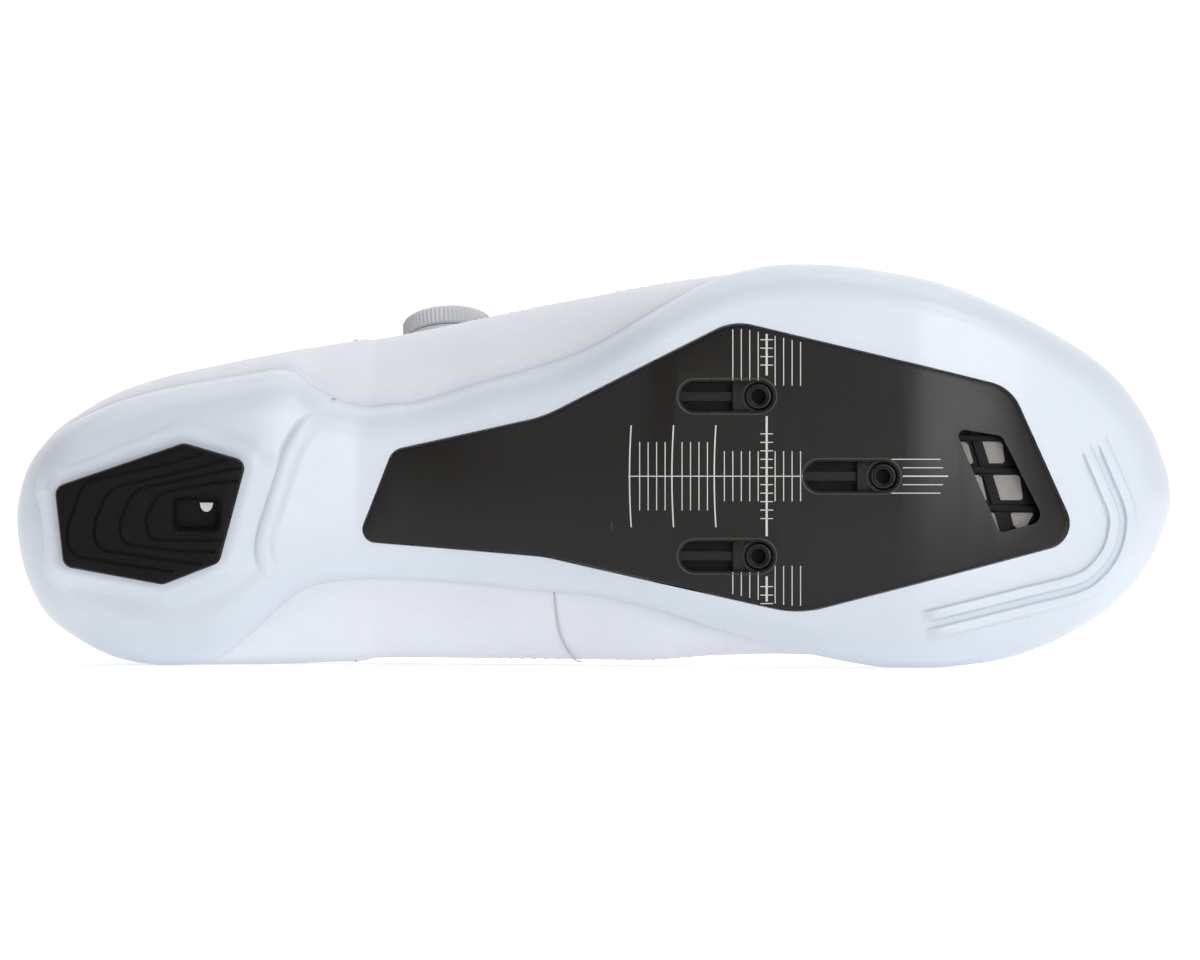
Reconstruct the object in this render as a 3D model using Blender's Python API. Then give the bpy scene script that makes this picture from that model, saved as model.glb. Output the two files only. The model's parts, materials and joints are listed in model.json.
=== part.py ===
"""Right cycling shoe, size 42, built as separate pieces in metres.

Shoe frame: x runs from the back of the heel to the toe, y towards the big-toe side, z up from the plane
that the walking pad and the ball of the sole share. Every piece is modelled in that frame and then laid
on its big-toe side, because the part rests on the edge of its sole and the side of its upper.
"""
import math

import bmesh
import bpy
from mathutils import Matrix, Vector
from mathutils.bvhtree import BVHTree

# Driving sizes
LENGTH = 0.280
BALL_WIDTH = 0.098
HEEL_WIDTH = 0.067
ARCH_RISE = 0.0155
HEEL_LIFT = 0.008
TOE_SPRING = 0.023
SOLE_THICKNESS = 0.0085
INSTEP_HEIGHT = 0.098
COLLAR_HEIGHT = 0.088
THROAT_WIDTH = 0.032
CLEARANCE = 0.0003
SHELL_GAP = 0.0006
SEAT_GAP = 0.00045
WELD = 0.00001

# Upper
WALL = 0.0018
MARGIN = 0.011
BULGE = 2.4

# Sole
EDGE_ROUND = 0.0035
EDGE_EASE = 0.3
POCKET_DEPTH = 0.0024
LIP_WALL = 0.0014
CUP_FLARE = 0.0035

# Plate and what sits behind it
PLATE_THICKNESS = 0.0026
PLATE_PROUD = 0.0007
TRAY_DEPTH = 0.0039
TRAY_FLOOR = 0.0012
TRAY_RIM = 0.0025
VENT_FRAME = 0.0016
VENT_BAR = 0.0014
VENT_DEPTH = 0.0016
VENT_CELLS = 4

# Cleat slots and nuts
NUT_SPACING = 0.038
FRONT_NUT_AHEAD = 0.0296
SLOT_LENGTH = 0.0223
SLOT_WIDTH = 0.0071
SLOT_CHAMFER = 0.0008
SLOT_AXIS = -0.0057
BALL_ALONG = 0.6521429
BARREL_DIAMETER = 0.0061
THREAD_DIAMETER = 0.0042
BARREL_RECESS = 0.0013
CARRIER_LENGTH = 0.0125
CARRIER_WIDTH = 0.0104
CARRIER_THICKNESS = 0.0016

# Walking pad
PAD_THICKNESS = 0.0042
PAD_CHAMFER = 0.001
PEDESTAL_HEIGHT = 0.0035
PEDESTAL_MARGIN = 0.0036

# Insole and tongue
INSOLE_THICKNESS = 0.003
INSOLE_INSET = 0.0028
TONGUE_WIDTH = 0.058
TONGUE_THICKNESS = 0.0035
TONGUE_REACH = 0.012
TONGUE_GAP = 0.0018

# Dial, guides and lace
DIAL_DIAMETER = 0.023
DIAL_HEIGHT = 0.009
DIAL_BASE_HEIGHT = 0.0035
KNOB_ROUND = 0.0012
GUIDE_LENGTH = 0.012
GUIDE_WIDTH = 0.008
GUIDE_HEIGHT = 0.0042
LACE_DIAMETER = 0.0014

# Plan outline: along as a share of LENGTH, the rest as shares of the width at that section
Outline = ("along", "lateral", "medial", "sole_lateral", "sole_medial")
OUTLINE = (
    (0.000, 0.076, 0.076, 0.076, 0.076),
    (0.007, -0.106, 0.260, -0.082, 0.252),
    (0.025, -0.228, 0.404, -0.194, 0.400),
    (0.050, -0.313, 0.490, -0.272, 0.488),
    (0.086, -0.396, 0.567, -0.348, 0.566),
    (0.129, -0.455, 0.597, -0.400, 0.596),
    (0.171, -0.493, 0.602, -0.431, 0.574),
    (0.204, -0.522, 0.603, -0.454, 0.480),
    (0.225, -0.535, 0.598, -0.466, 0.397),
    (0.243, -0.543, 0.590, -0.453, 0.334),
    (0.264, -0.547, 0.577, -0.382, 0.292),
    (0.300, -0.550, 0.550, -0.316, 0.267),
    (0.325, -0.549, 0.530, -0.312, 0.259),
    (0.350, -0.547, 0.512, -0.310, 0.253),
    (0.400, -0.544, 0.478, -0.342, 0.247),
    (0.450, -0.541, 0.447, -0.362, 0.248),
    (0.500, -0.539, 0.424, -0.397, 0.247),
    (0.550, -0.545, 0.408, -0.468, 0.269),
    (0.600, -0.559, 0.392, -0.537, 0.311),
    (0.650, -0.571, 0.388, -0.574, 0.352),
    (0.700, -0.569, 0.390, -0.576, 0.387),
    (0.750, -0.549, 0.394, -0.559, 0.410),
    (0.800, -0.517, 0.388, -0.528, 0.409),
    (0.850, -0.463, 0.372, -0.474, 0.391),
    (0.893, -0.404, 0.337, -0.414, 0.351),
    (0.929, -0.344, 0.288, -0.353, 0.298),
    (0.957, -0.275, 0.230, -0.283, 0.238),
    (0.982, -0.175, 0.142, -0.180, 0.147),
    (0.996, -0.078, 0.055, -0.076, 0.053),
    (1.000, -0.010, -0.010, -0.010, -0.010),
)
HEEL_CENTRE = 0.129
TOE_CENTRE = 0.850
WIDTH_CHANGE = (0.20, 0.60)

# Side profile: along as a share of LENGTH, heel, arch and toe as shares of the three lifts under the sole,
# thick and lip as shares of SOLE_THICKNESS, widest and ridge as shares of INSTEP_HEIGHT
Side = ("along", "heel", "arch", "toe", "thick", "lip", "widest", "ridge")
SIDE = (
    (0.00, 1.90, 0.00, 0.00, 0.60, 0.95, 0.18, 1.53),
    (0.03, 1.20, 0.00, 0.00, 0.75, 0.95, 0.19, 1.53),
    (0.06, 1.00, 0.00, 0.00, 0.85, 0.95, 0.20, 1.52),
    (0.21, 1.00, 0.00, 0.00, 0.85, 0.95, 0.21, 1.44),
    (0.25, 0.60, 0.35, 0.00, 0.78, 0.70, 0.21, 1.37),
    (0.30, 0.20, 0.85, 0.00, 0.68, 0.35, 0.21, 1.28),
    (0.36, 0.00, 1.00, 0.00, 0.64, 0.30, 0.20, 1.18),
    (0.41, 0.00, 0.86, 0.00, 0.72, 0.30, 0.20, 1.10),
    (0.47, 0.00, 0.53, 0.00, 0.88, 0.35, 0.18, 0.99),
    (0.52, 0.00, 0.18, 0.00, 0.98, 0.45, 0.17, 0.91),
    (0.56, 0.00, 0.00, 0.00, 1.00, 0.58, 0.16, 0.85),
    (0.77, 0.00, 0.00, 0.00, 1.00, 0.70, 0.14, 0.580),
    (0.81, 0.00, 0.00, 0.07, 0.97, 0.70, 0.13, 0.535),
    (0.86, 0.00, 0.00, 0.22, 0.90, 0.70, 0.10, 0.500),
    (0.91, 0.00, 0.00, 0.44, 0.80, 0.70, 0.08, 0.490),
    (0.96, 0.00, 0.00, 0.72, 0.68, 0.60, 0.06, 0.485),
    (1.00, 0.00, 0.00, 1.00, 0.50, 0.50, 0.04, 0.480),
)

# Collar line: along as a share of LENGTH, height as a share of COLLAR_HEIGHT
COLLAR = ((0.00, 1.00), (0.05, 0.95), (0.129, 0.81), (0.204, 0.76), (0.264, 0.80), (0.31, 0.95), (0.345, 1.14),
          (0.37, 1.5))
# Throat: along as a share of LENGTH, gap as a share of THROAT_WIDTH
THROAT = ((0.30, 1.05), (0.40, 0.96), (0.50, 0.90), (0.60, 0.74), (0.66, 0.50), (0.695, 0.0))

# Plate, vent and pad corners: along as a share of LENGTH, across as a share of BALL_WIDTH, corner radius in metres
PLATE = (
    (0.2975, 0.099, 0.003), (0.3275, -0.121, 0.004), (0.457, -0.202, 0.030), (0.618, -0.433, 0.012),
    (0.854, -0.272, 0.010), (0.914, 0.097, 0.006), (0.6735, 0.274, 0.025), (0.457, 0.136, 0.030),
)
VENT = ((0.8055, -0.175, 0.0015), (0.8435, -0.153, 0.002), (0.880, 0.051, 0.0025), (0.8445, 0.080, 0.0015))
PAD = (
    (0.0418, -0.032, 0.0015), (0.1514, -0.139, 0.0015), (0.2043, -0.095, 0.0015), (0.1811, 0.152, 0.0015),
    (0.1336, 0.205, 0.0015), (0.0493, 0.161, 0.0015),
)
# Middle lines of the ridge in front of the heel block and of the rib round the toe
HEEL_RIDGE = (
    (0.2875, -0.232), (0.2720, -0.207), (0.2543, -0.176), (0.2414, -0.114), (0.2339, -0.051), (0.2261, 0.016),
    (0.2186, 0.085), (0.2179, 0.129), (0.2246, 0.169), (0.2371, 0.192), (0.2611, 0.199), (0.2925, 0.199),
)
TOE_RIB = (
    (0.9157, -0.127), (0.9300, -0.035), (0.9396, 0.029), (0.9404, 0.067), (0.9354, 0.116), (0.9239, 0.157),
    (0.9089, 0.182), (0.8646, 0.212), (0.7968, 0.258), (0.7764, 0.270),
)
RIDGE_WIDTH = 0.002
RIDGE_HEIGHT = 0.0014
RIB_WIDTH = 0.0024
RIB_HEIGHT = 0.0008
RIB_PITCH = 0.0043
RIB_COUNT = 2

# Places of guides and dial: along as a share of LENGTH, up as a share of the wall's arc above its widest point
GUIDES = ((0.42, 0.88), (0.49, 0.86), (0.56, 0.84), (0.63, 0.84))
DIAL_ALONG = 0.368
DIAL_UP = 0.47
DIAL_LACE_EXIT = 0.62
NEARBY = 0.004

# How finely the pieces are built
UNDER_ROWS = (0.0, 0.4, 0.75)
LOWER_ROWS = 3
UPPER_ROWS = 8
SLICE = 0.007
RIM_STEPS = 24
KNOB_STEPS = 32
LACE_STEPS = 10
TONGUE_COLUMNS = 12
TONGUE_ROWS = 6

# Where the shoe balances: shares of LENGTH and INSTEP_HEIGHT
BALANCE_ALONG = 0.505
BALANCE_UP = 0.256
SETTLE_ROUNDS = 6


def curve_value(rows, column, along):
    """Smooth value of one column of a table, without overshoot between its rows."""
    xs = [row[0] for row in rows]
    ys = [row[column] for row in rows]
    if along <= xs[0]:
        return ys[0]
    if along >= xs[-1]:
        return ys[-1]
    steps = [xs[i + 1] - xs[i] for i in range(len(xs) - 1)]
    slopes = [(ys[i + 1] - ys[i]) / steps[i] for i in range(len(steps))]
    tangents = [slopes[0]]
    for before, after in zip(slopes, slopes[1:]):
        tangents.append(0.0 if before * after <= 0 else 2 * before * after / (before + after))
    tangents.append(slopes[-1])
    i = next(k for k in range(len(steps)) if along <= xs[k + 1])
    t = (along - xs[i]) / steps[i]
    rise = (2 * t ** 3 - 3 * t ** 2 + 1) * ys[i] + (-2 * t ** 3 + 3 * t ** 2) * ys[i + 1]
    lean = (t ** 3 - 2 * t ** 2 + t) * tangents[i] + (t ** 3 - t ** 2) * tangents[i + 1]
    return rise + lean * steps[i]


def width_at(along):
    """Width that the outline's shares are of, from the heel's to the ball's."""
    start, end = WIDTH_CHANGE
    t = min(max((along - start) / (end - start), 0.0), 1.0)
    return HEEL_WIDTH + (BALL_WIDTH - HEEL_WIDTH) * t * t * (3 - 2 * t)


def side(name, x):
    """One column of the side profile at a distance from the heel."""
    return curve_value(SIDE, Side.index(name), x / LENGTH)


def underside(x):
    """Height of the sole's lower surface."""
    return HEEL_LIFT * side("heel", x) + ARCH_RISE * side("arch", x) + TOE_SPRING * side("toe", x)


def feather(x):
    """Height where the upper turns in under the foot."""
    return underside(x) + SOLE_THICKNESS * side("thick", x)


def lip(x):
    """Height of the sole's upper edge."""
    return feather(x) + SOLE_THICKNESS * side("lip", x)


def widest(x):
    """Height at which the upper is widest."""
    return lip(x) + INSTEP_HEIGHT * side("widest", x)


def ridge(x):
    """Height of the line over the instep, also where the shoe is open there."""
    return INSTEP_HEIGHT * side("ridge", x)


def middle(along):
    """Sideways place of the middle of the outline."""
    pair = [curve_value(OUTLINE, Outline.index(name), along) for name in ("lateral", "medial")]
    return sum(pair) / 2 * width_at(along)


class Section:
    """One section plane of the shoe, from its middle line out to its outline."""

    def __init__(self, along, side_name):
        self.along = along
        self.x = along * LENGTH
        width = width_at(along)
        self.outer = Vector((self.x, curve_value(OUTLINE, Outline.index(side_name), along) * width))
        self.sole = Vector((self.x, curve_value(OUTLINE, Outline.index("sole_" + side_name), along) * width))
        centre = min(max(along, HEEL_CENTRE), TOE_CENTRE)
        self.centre = Vector((centre * LENGTH, middle(centre)))
        self.reach = (self.outer - self.centre).length
        self.outward = (self.outer - self.centre) / self.reach
        self.sole_reach = (self.sole - self.centre).length

    def point(self, distance, height):
        """Point at a distance from the middle line, at a height."""
        flat = self.centre + self.outward * distance
        return Vector((flat.x, flat.y, height))

    def end_angle(self, inset=0.0):
        """Angle of the wall's arc at which the collar or the throat cuts it."""
        low = widest(self.x)
        high = ridge(self.centre.x) - inset
        collar = curve_value(COLLAR, 1, self.along) * COLLAR_HEIGHT
        share = min(max((collar - low) / (high - low), 0.0), 1.0)
        by_collar = math.asin(share ** (BULGE / 2))
        half = curve_value(THROAT, 1, self.along) * THROAT_WIDTH / 2
        if self.along > THROAT[-1][0]:
            half = 0.0
        by_throat = math.acos(min(half / self.reach, 1.0) ** (BULGE / 2))
        return min(by_collar, by_throat) if self.along < COLLAR[-1][0] else by_throat

    def wall_point(self, angle, inset=0.0):
        """Point of the upper's arc over the foot, set inside its outer face by inset."""
        low = widest(self.x)
        high = ridge(self.centre.x) - inset
        out = max(math.cos(angle), 0.0) ** (2 / BULGE) * (self.reach - inset)
        up = max(math.sin(angle), 0.0) ** (2 / BULGE) * (high - low)
        return self.point(out, low + up)

    def foot_reach(self):
        """Distance of the upper's lower corner, inside the sole's lip."""
        return min(self.sole_reach, self.reach) - LIP_WALL - SHELL_GAP


def ring():
    """Sections all round the shoe, from the heel along the lateral side to the toe and back."""
    alongs = [row[0] for row in OUTLINE]
    return ([Section(along, "lateral") for along in alongs]
            + [Section(along, "medial") for along in reversed(alongs[1:-1])])


def material(name, colour, roughness, metallic=0.0):
    """Principled material with the piece's colour and finish."""
    finish = bpy.data.materials.new(name)
    finish.use_nodes = True
    shader = finish.node_tree.nodes["Principled BSDF"]
    shader.inputs["Base Color"].default_value = (*colour, 1.0)
    shader.inputs["Roughness"].default_value = roughness
    shader.inputs["Metallic"].default_value = metallic
    return finish


def make_object(name, shape, finish):
    """Object from a bmesh, with its faces pointing out."""
    bmesh.ops.recalc_face_normals(shape, faces=shape.faces)
    mesh = bpy.data.meshes.new(name)
    shape.to_mesh(mesh)
    shape.free()
    mesh.materials.append(finish)
    thing = bpy.data.objects.new(name, mesh)
    bpy.context.collection.objects.link(thing)
    return thing


def apply_modifiers(thing):
    """Keep the object's shape as its modifiers leave it."""
    evaluated = thing.evaluated_get(bpy.context.evaluated_depsgraph_get())
    mesh = bpy.data.meshes.new_from_object(evaluated)
    thing.modifiers.clear()
    thing.data = mesh


def combine(thing, tool, operation):
    """Add the tool's form to the object, or cut it out, and drop the tool."""
    modifier = thing.modifiers.new(operation.title(), "BOOLEAN")
    modifier.operation = operation
    modifier.solver = "EXACT"
    modifier.object = tool
    apply_modifiers(thing)
    bpy.data.objects.remove(tool)


def smooth(thing, angle):
    """Shade the object smooth where its faces meet at less than an angle in degrees."""
    thing.data.shade_smooth()
    thing.data.set_sharp_from_angle(angle=math.radians(angle))


def sheet(columns, closed):
    """Grid of faces through columns of points, the last joined to the first where it is closed."""
    shape = bmesh.new()
    grid = [[shape.verts.new(point) for point in column] for column in columns]
    pairs = list(zip(grid, grid[1:]))
    if closed:
        pairs.append((grid[-1], grid[0]))
    for left, right in pairs:
        for i in range(len(left) - 1):
            shape.faces.new((left[i], right[i], right[i + 1], left[i + 1]))
    bmesh.ops.remove_doubles(shape, verts=shape.verts, dist=WELD)
    bmesh.ops.dissolve_degenerate(shape, edges=shape.edges, dist=WELD)
    return shape


def rounded(corners, arc_steps=4):
    """Outline through corners of along, across and radius, with each corner an arc."""
    points = [Vector((along * LENGTH, across * BALL_WIDTH)) for along, across, _ in corners]
    outline = []
    for i, (_, _, radius) in enumerate(corners):
        here = points[i]
        before = (points[i - 1] - here).normalized()
        after = (points[(i + 1) % len(points)] - here).normalized()
        half = before.angle(after) / 2
        bisector = (before + after).normalized()
        centre = here + bisector * (radius / math.sin(half))
        start = here + before * (radius / math.tan(half)) - centre
        turn = start.angle_signed(here + after * (radius / math.tan(half)) - centre)
        for k in range(arc_steps + 1):
            arm = start.copy()
            arm.rotate(Matrix.Rotation(-turn * k / arc_steps, 2))
            outline.append(centre + arm)
    return outline


def slot_outline(front, across, margin=0.0, arc_steps=6):
    """Outline of a cleat slot with round ends, from its front end's place."""
    radius = SLOT_WIDTH / 2 + margin
    ahead = Vector((front - SLOT_WIDTH / 2, across))
    behind = Vector((front - SLOT_LENGTH + SLOT_WIDTH / 2, across))
    outline = []
    for centre, first in ((ahead, -math.pi / 2), (behind, math.pi / 2)):
        for k in range(arc_steps + 1):
            angle = first + math.pi * k / arc_steps
            outline.append(centre + Vector((math.cos(angle), math.sin(angle))) * radius)
    return outline


def grown(outline, margin):
    """Outline moved out by a margin, or in where the margin is below nought."""
    area = sum(a.cross(b) for a, b in zip(outline, outline[1:] + outline[:1]))
    turn = math.copysign(1.0, area)
    moved = []
    for i, here in enumerate(outline):
        before = (here - outline[i - 1]).normalized()
        after = (outline[(i + 1) % len(outline)] - here).normalized()
        out = Vector((before.y + after.y, -before.x - after.x)).normalized() * turn
        cosine = max(abs(out.dot(Vector((after.y, -after.x)))), 0.3)
        moved.append(here + out * (margin / cosine))
    return moved


def strip(path, width, shift=0.0):
    """Outline of a strip along a path of along and across shares, shifted to its left."""
    points = [Vector((along * LENGTH, across * BALL_WIDTH)) for along, across in path]
    left = []
    right = []
    for i, here in enumerate(points):
        ahead = points[min(i + 1, len(points) - 1)] - points[max(i - 1, 0)]
        across = Vector((ahead.y, -ahead.x)).normalized()
        left.append(here + across * (shift + width / 2))
        right.append(here + across * (shift - width / 2))
    return left + right[::-1]


def prism(name, outline, low, high, finish):
    """Plate of an outline between two heights that follow the sole, bent along its length."""
    shape = bmesh.new()
    base = shape.faces.new([shape.verts.new((point.x, point.y, 0.0)) for point in outline])
    raised = bmesh.ops.extrude_face_region(shape, geom=[base])
    top = [item for item in raised["geom"] if isinstance(item, bmesh.types.BMVert)]
    bmesh.ops.translate(shape, verts=top, vec=(0.0, 0.0, 1.0))
    start = min(point.x for point in outline)
    end = max(point.x for point in outline)
    cut = (math.floor(start / SLICE) + 1) * SLICE
    while cut < end:
        everything = shape.verts[:] + shape.edges[:] + shape.faces[:]
        bmesh.ops.bisect_plane(shape, geom=everything, plane_co=(cut, 0.0, 0.0), plane_no=(1.0, 0.0, 0.0))
        cut += SLICE
    for vertex in shape.verts:
        height = high if vertex.co.z > 0.5 else low
        vertex.co.z = height(vertex.co.x)
    bmesh.ops.triangulate(shape, faces=[face for face in shape.faces if len(face.verts) > 4])
    return make_object(name, shape, finish)


def make_upper(finish):
    """Hollow upper: one sheet from the turned-in margin to the collar, with its wall inside."""
    columns = []
    for part in ring():
        lower = part.sole_reach - CUP_FLARE - LIP_WALL - SHELL_GAP
        at_lip = part.foot_reach()
        margin = part.point(lower - MARGIN, 0.0)
        corner = part.point(lower, 0.0)
        column = [part.point(lower - MARGIN, feather(margin.x)), part.point(lower, feather(corner.x)),
                  part.point(at_lip, lip(part.x))]
        for k in range(1, LOWER_ROWS + 1):
            angle = math.pi / 2 * k / LOWER_ROWS
            out = at_lip + (part.reach - at_lip) * math.sin(angle)
            up = lip(part.x) + (widest(part.x) - lip(part.x)) * (1 - math.cos(angle))
            column.append(part.point(out, up))
        end = part.end_angle()
        for k in range(1, UPPER_ROWS + 1):
            column.append(part.wall_point(end * k / UPPER_ROWS))
        columns.append(column)
    upper = make_object("upper", sheet(columns, closed=True), finish)
    wall = upper.modifiers.new("Wall", "SOLIDIFY")
    wall.thickness = WALL
    wall.offset = -1.0
    wall.use_even_offset = True
    smooth(upper, 50)
    return upper


def make_sole(finish):
    """Sole shell: underside, round edge, side wall up to the lip and the tray that the upper sits in."""
    columns = []
    for part in ring():
        edge = part.sole_reach - CUP_FLARE
        inner = edge - LIP_WALL
        rows = [(edge * share, 0.0) for share in UNDER_ROWS]
        rows += [(edge - EDGE_ROUND, 0.0), (edge - EDGE_ROUND * EDGE_EASE, EDGE_ROUND * EDGE_EASE),
                 (edge, EDGE_ROUND)]
        column = []
        for out, rise in rows:
            column.append(part.point(out, underside(part.point(out, 0.0).x) + rise))
        column.append(part.point(part.sole_reach, lip(part.x)))
        column.append(part.point(part.sole_reach - LIP_WALL, lip(part.x)))
        for out in (inner, inner - MARGIN, (inner - MARGIN) / 2, 0.0):
            column.append(part.point(out, feather(part.point(out, 0.0).x) - SHELL_GAP))
        columns.append(column)
    return make_object("sole", sheet(columns, closed=True), finish)


def add_sole_forms(sole, finish):
    """Pedestal, ridge and toe ribs on the sole, and the pockets for plate, tray and vent."""
    sunk = SOLE_THICKNESS / 8
    pad = rounded(PAD)
    pedestal = prism("pedestal", grown(pad, PEDESTAL_MARGIN), lambda x: HEEL_LIFT - PEDESTAL_HEIGHT,
                     lambda x: HEEL_LIFT + sunk, finish)
    combine(sole, pedestal, "UNION")
    heel_ridge = prism("heel_ridge", strip(HEEL_RIDGE, RIDGE_WIDTH), lambda x: underside(x) - RIDGE_HEIGHT,
                       lambda x: underside(x) + sunk, finish)
    combine(sole, heel_ridge, "UNION")
    for number in range(RIB_COUNT):
        rib = prism("toe_rib", strip(TOE_RIB, RIB_WIDTH, -RIB_PITCH * number), lambda x: underside(x) - RIB_HEIGHT,
                    lambda x: underside(x) + sunk, finish)
        combine(sole, rib, "UNION")
    pocket = prism("plate_pocket", grown(rounded(PLATE), CLEARANCE), lambda x: underside(x) - POCKET_DEPTH,
                   lambda x: plate_back(x) + CLEARANCE, finish)
    combine(sole, pocket, "DIFFERENCE")
    tray_pocket = prism("tray_pocket", grown(tray_outline(), CLEARANCE), plate_back,
                        lambda x: plate_back(x) + TRAY_DEPTH + 2 * CLEARANCE, finish)
    combine(sole, tray_pocket, "DIFFERENCE")
    vent = prism("vent_hole", grown(rounded(VENT), VENT_FRAME + CLEARANCE), lambda x: underside(x),
                 lambda x: underside(x) + 2 * SOLE_THICKNESS, finish)
    combine(sole, vent, "DIFFERENCE")
    smooth(sole, 35)


def plate_face(x):
    """Height of the plate's outer face."""
    return underside(x) - PLATE_PROUD


def plate_back(x):
    """Height of the plate's inner face."""
    return plate_face(x) + PLATE_THICKNESS


def slot_places():
    """Front end and sideways place of each cleat slot, by its nut's name."""
    rear_end = LENGTH * BALL_ALONG
    return {
        "cleat_nut_lateral": (rear_end, SLOT_AXIS - NUT_SPACING / 2),
        "cleat_nut_medial": (rear_end, SLOT_AXIS + NUT_SPACING / 2),
        "cleat_nut_front": (rear_end + FRONT_NUT_AHEAD, SLOT_AXIS),
    }


def nut_travel():
    """How far a nut slides back along its slot."""
    return SLOT_LENGTH - SLOT_WIDTH


def channel_box(front):
    """Rear and front end of the channel that a carrier slides in."""
    nut = front - SLOT_WIDTH / 2
    return (nut - CARRIER_LENGTH / 2 - nut_travel() - 2 * CLEARANCE, nut + CARRIER_LENGTH / 2 + 2 * CLEARANCE)


def box_outline(start, end, across, width):
    """Outline of a straight rectangle along the shoe."""
    half = width / 2
    return [Vector((start, across - half)), Vector((end, across - half)),
            Vector((end, across + half)), Vector((start, across + half))]


def tray_outline():
    """Outline of the tray round its three channels, wide at the rear pair and narrow at the front."""
    places = slot_places()
    half = CARRIER_WIDTH / 2 + 2 * CLEARANCE + TRAY_RIM
    rear = channel_box(places["cleat_nut_lateral"][0])
    front = channel_box(places["cleat_nut_front"][0])
    lateral = places["cleat_nut_lateral"][1] - half
    medial = places["cleat_nut_medial"][1] + half
    back = rear[0] - TRAY_RIM
    step = rear[1] + TRAY_RIM
    nose = front[1] + TRAY_RIM
    return [Vector((back, lateral)), Vector((step, lateral)), Vector((step, SLOT_AXIS - half)),
            Vector((nose, SLOT_AXIS - half)), Vector((nose, SLOT_AXIS + half)), Vector((step, SLOT_AXIS + half)),
            Vector((step, medial)), Vector((back, medial))]


def make_plate(finish):
    """Black plate with round edges, three chamfered slots and the vent window."""
    plate = prism("sole_plate", rounded(PLATE), plate_face, plate_back, finish)
    for front, across in slot_places().values():
        slot = prism("slot", slot_outline(front, across), lambda x: plate_face(x) - SLOT_CHAMFER,
                     lambda x: plate_back(x) + SLOT_CHAMFER, finish)
        combine(plate, slot, "DIFFERENCE")
        chamfer = prism("slot_chamfer", slot_outline(front, across, SLOT_CHAMFER),
                        lambda x: plate_face(x) - SLOT_CHAMFER, lambda x: plate_face(x) + SLOT_CHAMFER / 2, finish)
        combine(plate, chamfer, "DIFFERENCE")
    vent = prism("vent", rounded(VENT), lambda x: plate_face(x) - SLOT_CHAMFER,
                 lambda x: plate_back(x) + SLOT_CHAMFER, finish)
    combine(plate, vent, "DIFFERENCE")
    smooth(plate, 30)
    return plate


def make_tray(finish):
    """Tray behind the plate with a channel under each slot."""
    seat = CLEARANCE
    tray = prism("nut_tray", tray_outline(), lambda x: plate_back(x) + seat,
                 lambda x: plate_back(x) + seat + TRAY_DEPTH, finish)
    for front, across in slot_places().values():
        start, end = channel_box(front)
        channel = prism("channel", box_outline(start, end, across, CARRIER_WIDTH + 2 * CLEARANCE),
                        lambda x: plate_back(x) - seat,
                        lambda x: plate_back(x) + seat + TRAY_DEPTH - TRAY_FLOOR, finish)
        combine(tray, channel, "DIFFERENCE")
    return tray


def make_nut(name, front, across, finish):
    """Threaded barrel on a flat carrier, at the front end of its slot."""
    nut = front - SLOT_WIDTH / 2
    bottom = plate_back(nut) + CLEARANCE
    shape = bmesh.new()
    bmesh.ops.create_cube(shape, size=1.0)
    bmesh.ops.scale(shape, vec=(CARRIER_LENGTH, CARRIER_WIDTH, CARRIER_THICKNESS), verts=shape.verts)
    bmesh.ops.translate(shape, vec=(0.0, 0.0, CARRIER_THICKNESS / 2), verts=shape.verts)
    carrier = make_object(name, shape, finish)
    depth = PLATE_THICKNESS + CLEARANCE - BARREL_RECESS
    barrel = cylinder("barrel", BARREL_DIAMETER, -depth, CARRIER_THICKNESS / 2, finish)
    combine(carrier, barrel, "UNION")
    thread = cylinder("thread", THREAD_DIAMETER, -2 * depth, 2 * CARRIER_THICKNESS, finish)
    combine(carrier, thread, "DIFFERENCE")
    carrier.location = (nut, across, bottom)
    smooth(carrier, 30)
    return carrier


def cylinder(name, diameter, low, high, finish, sides=RIM_STEPS):
    """Upright cylinder at the origin between two heights."""
    shape = bmesh.new()
    bmesh.ops.create_cone(shape, cap_ends=True, segments=sides, radius1=diameter / 2, radius2=diameter / 2,
                          depth=high - low)
    bmesh.ops.translate(shape, vec=(0.0, 0.0, (low + high) / 2), verts=shape.verts)
    return make_object(name, shape, finish)


def make_vent_grille(finish):
    """Frame behind the vent window with three bars along the shoe."""
    outline = rounded(VENT)

    def at_depth(depth):
        return lambda x: plate_back(x) + CLEARANCE + depth

    grille = prism("vent_grille", grown(outline, VENT_FRAME), at_depth(0.0), at_depth(VENT_DEPTH), finish)
    ahead = max(point.x for point in outline)
    behind = min(point.x for point in outline)
    low = min(point.y for point in outline)
    high = max(point.y for point in outline)
    pitch = (high - low + VENT_BAR) / VENT_CELLS
    for number in range(VENT_CELLS):
        start = low + pitch * number
        cell = prism("cell", outline, at_depth(-VENT_DEPTH), at_depth(2 * VENT_DEPTH), finish)
        across = start + (pitch - VENT_BAR) / 2
        gap = box_outline(behind - VENT_BAR, ahead + VENT_BAR, across, pitch - VENT_BAR)
        band = prism("band", gap, at_depth(-2 * VENT_DEPTH), at_depth(3 * VENT_DEPTH), finish)
        combine(cell, band, "INTERSECT")
        combine(grille, cell, "DIFFERENCE")
    return grille


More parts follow.
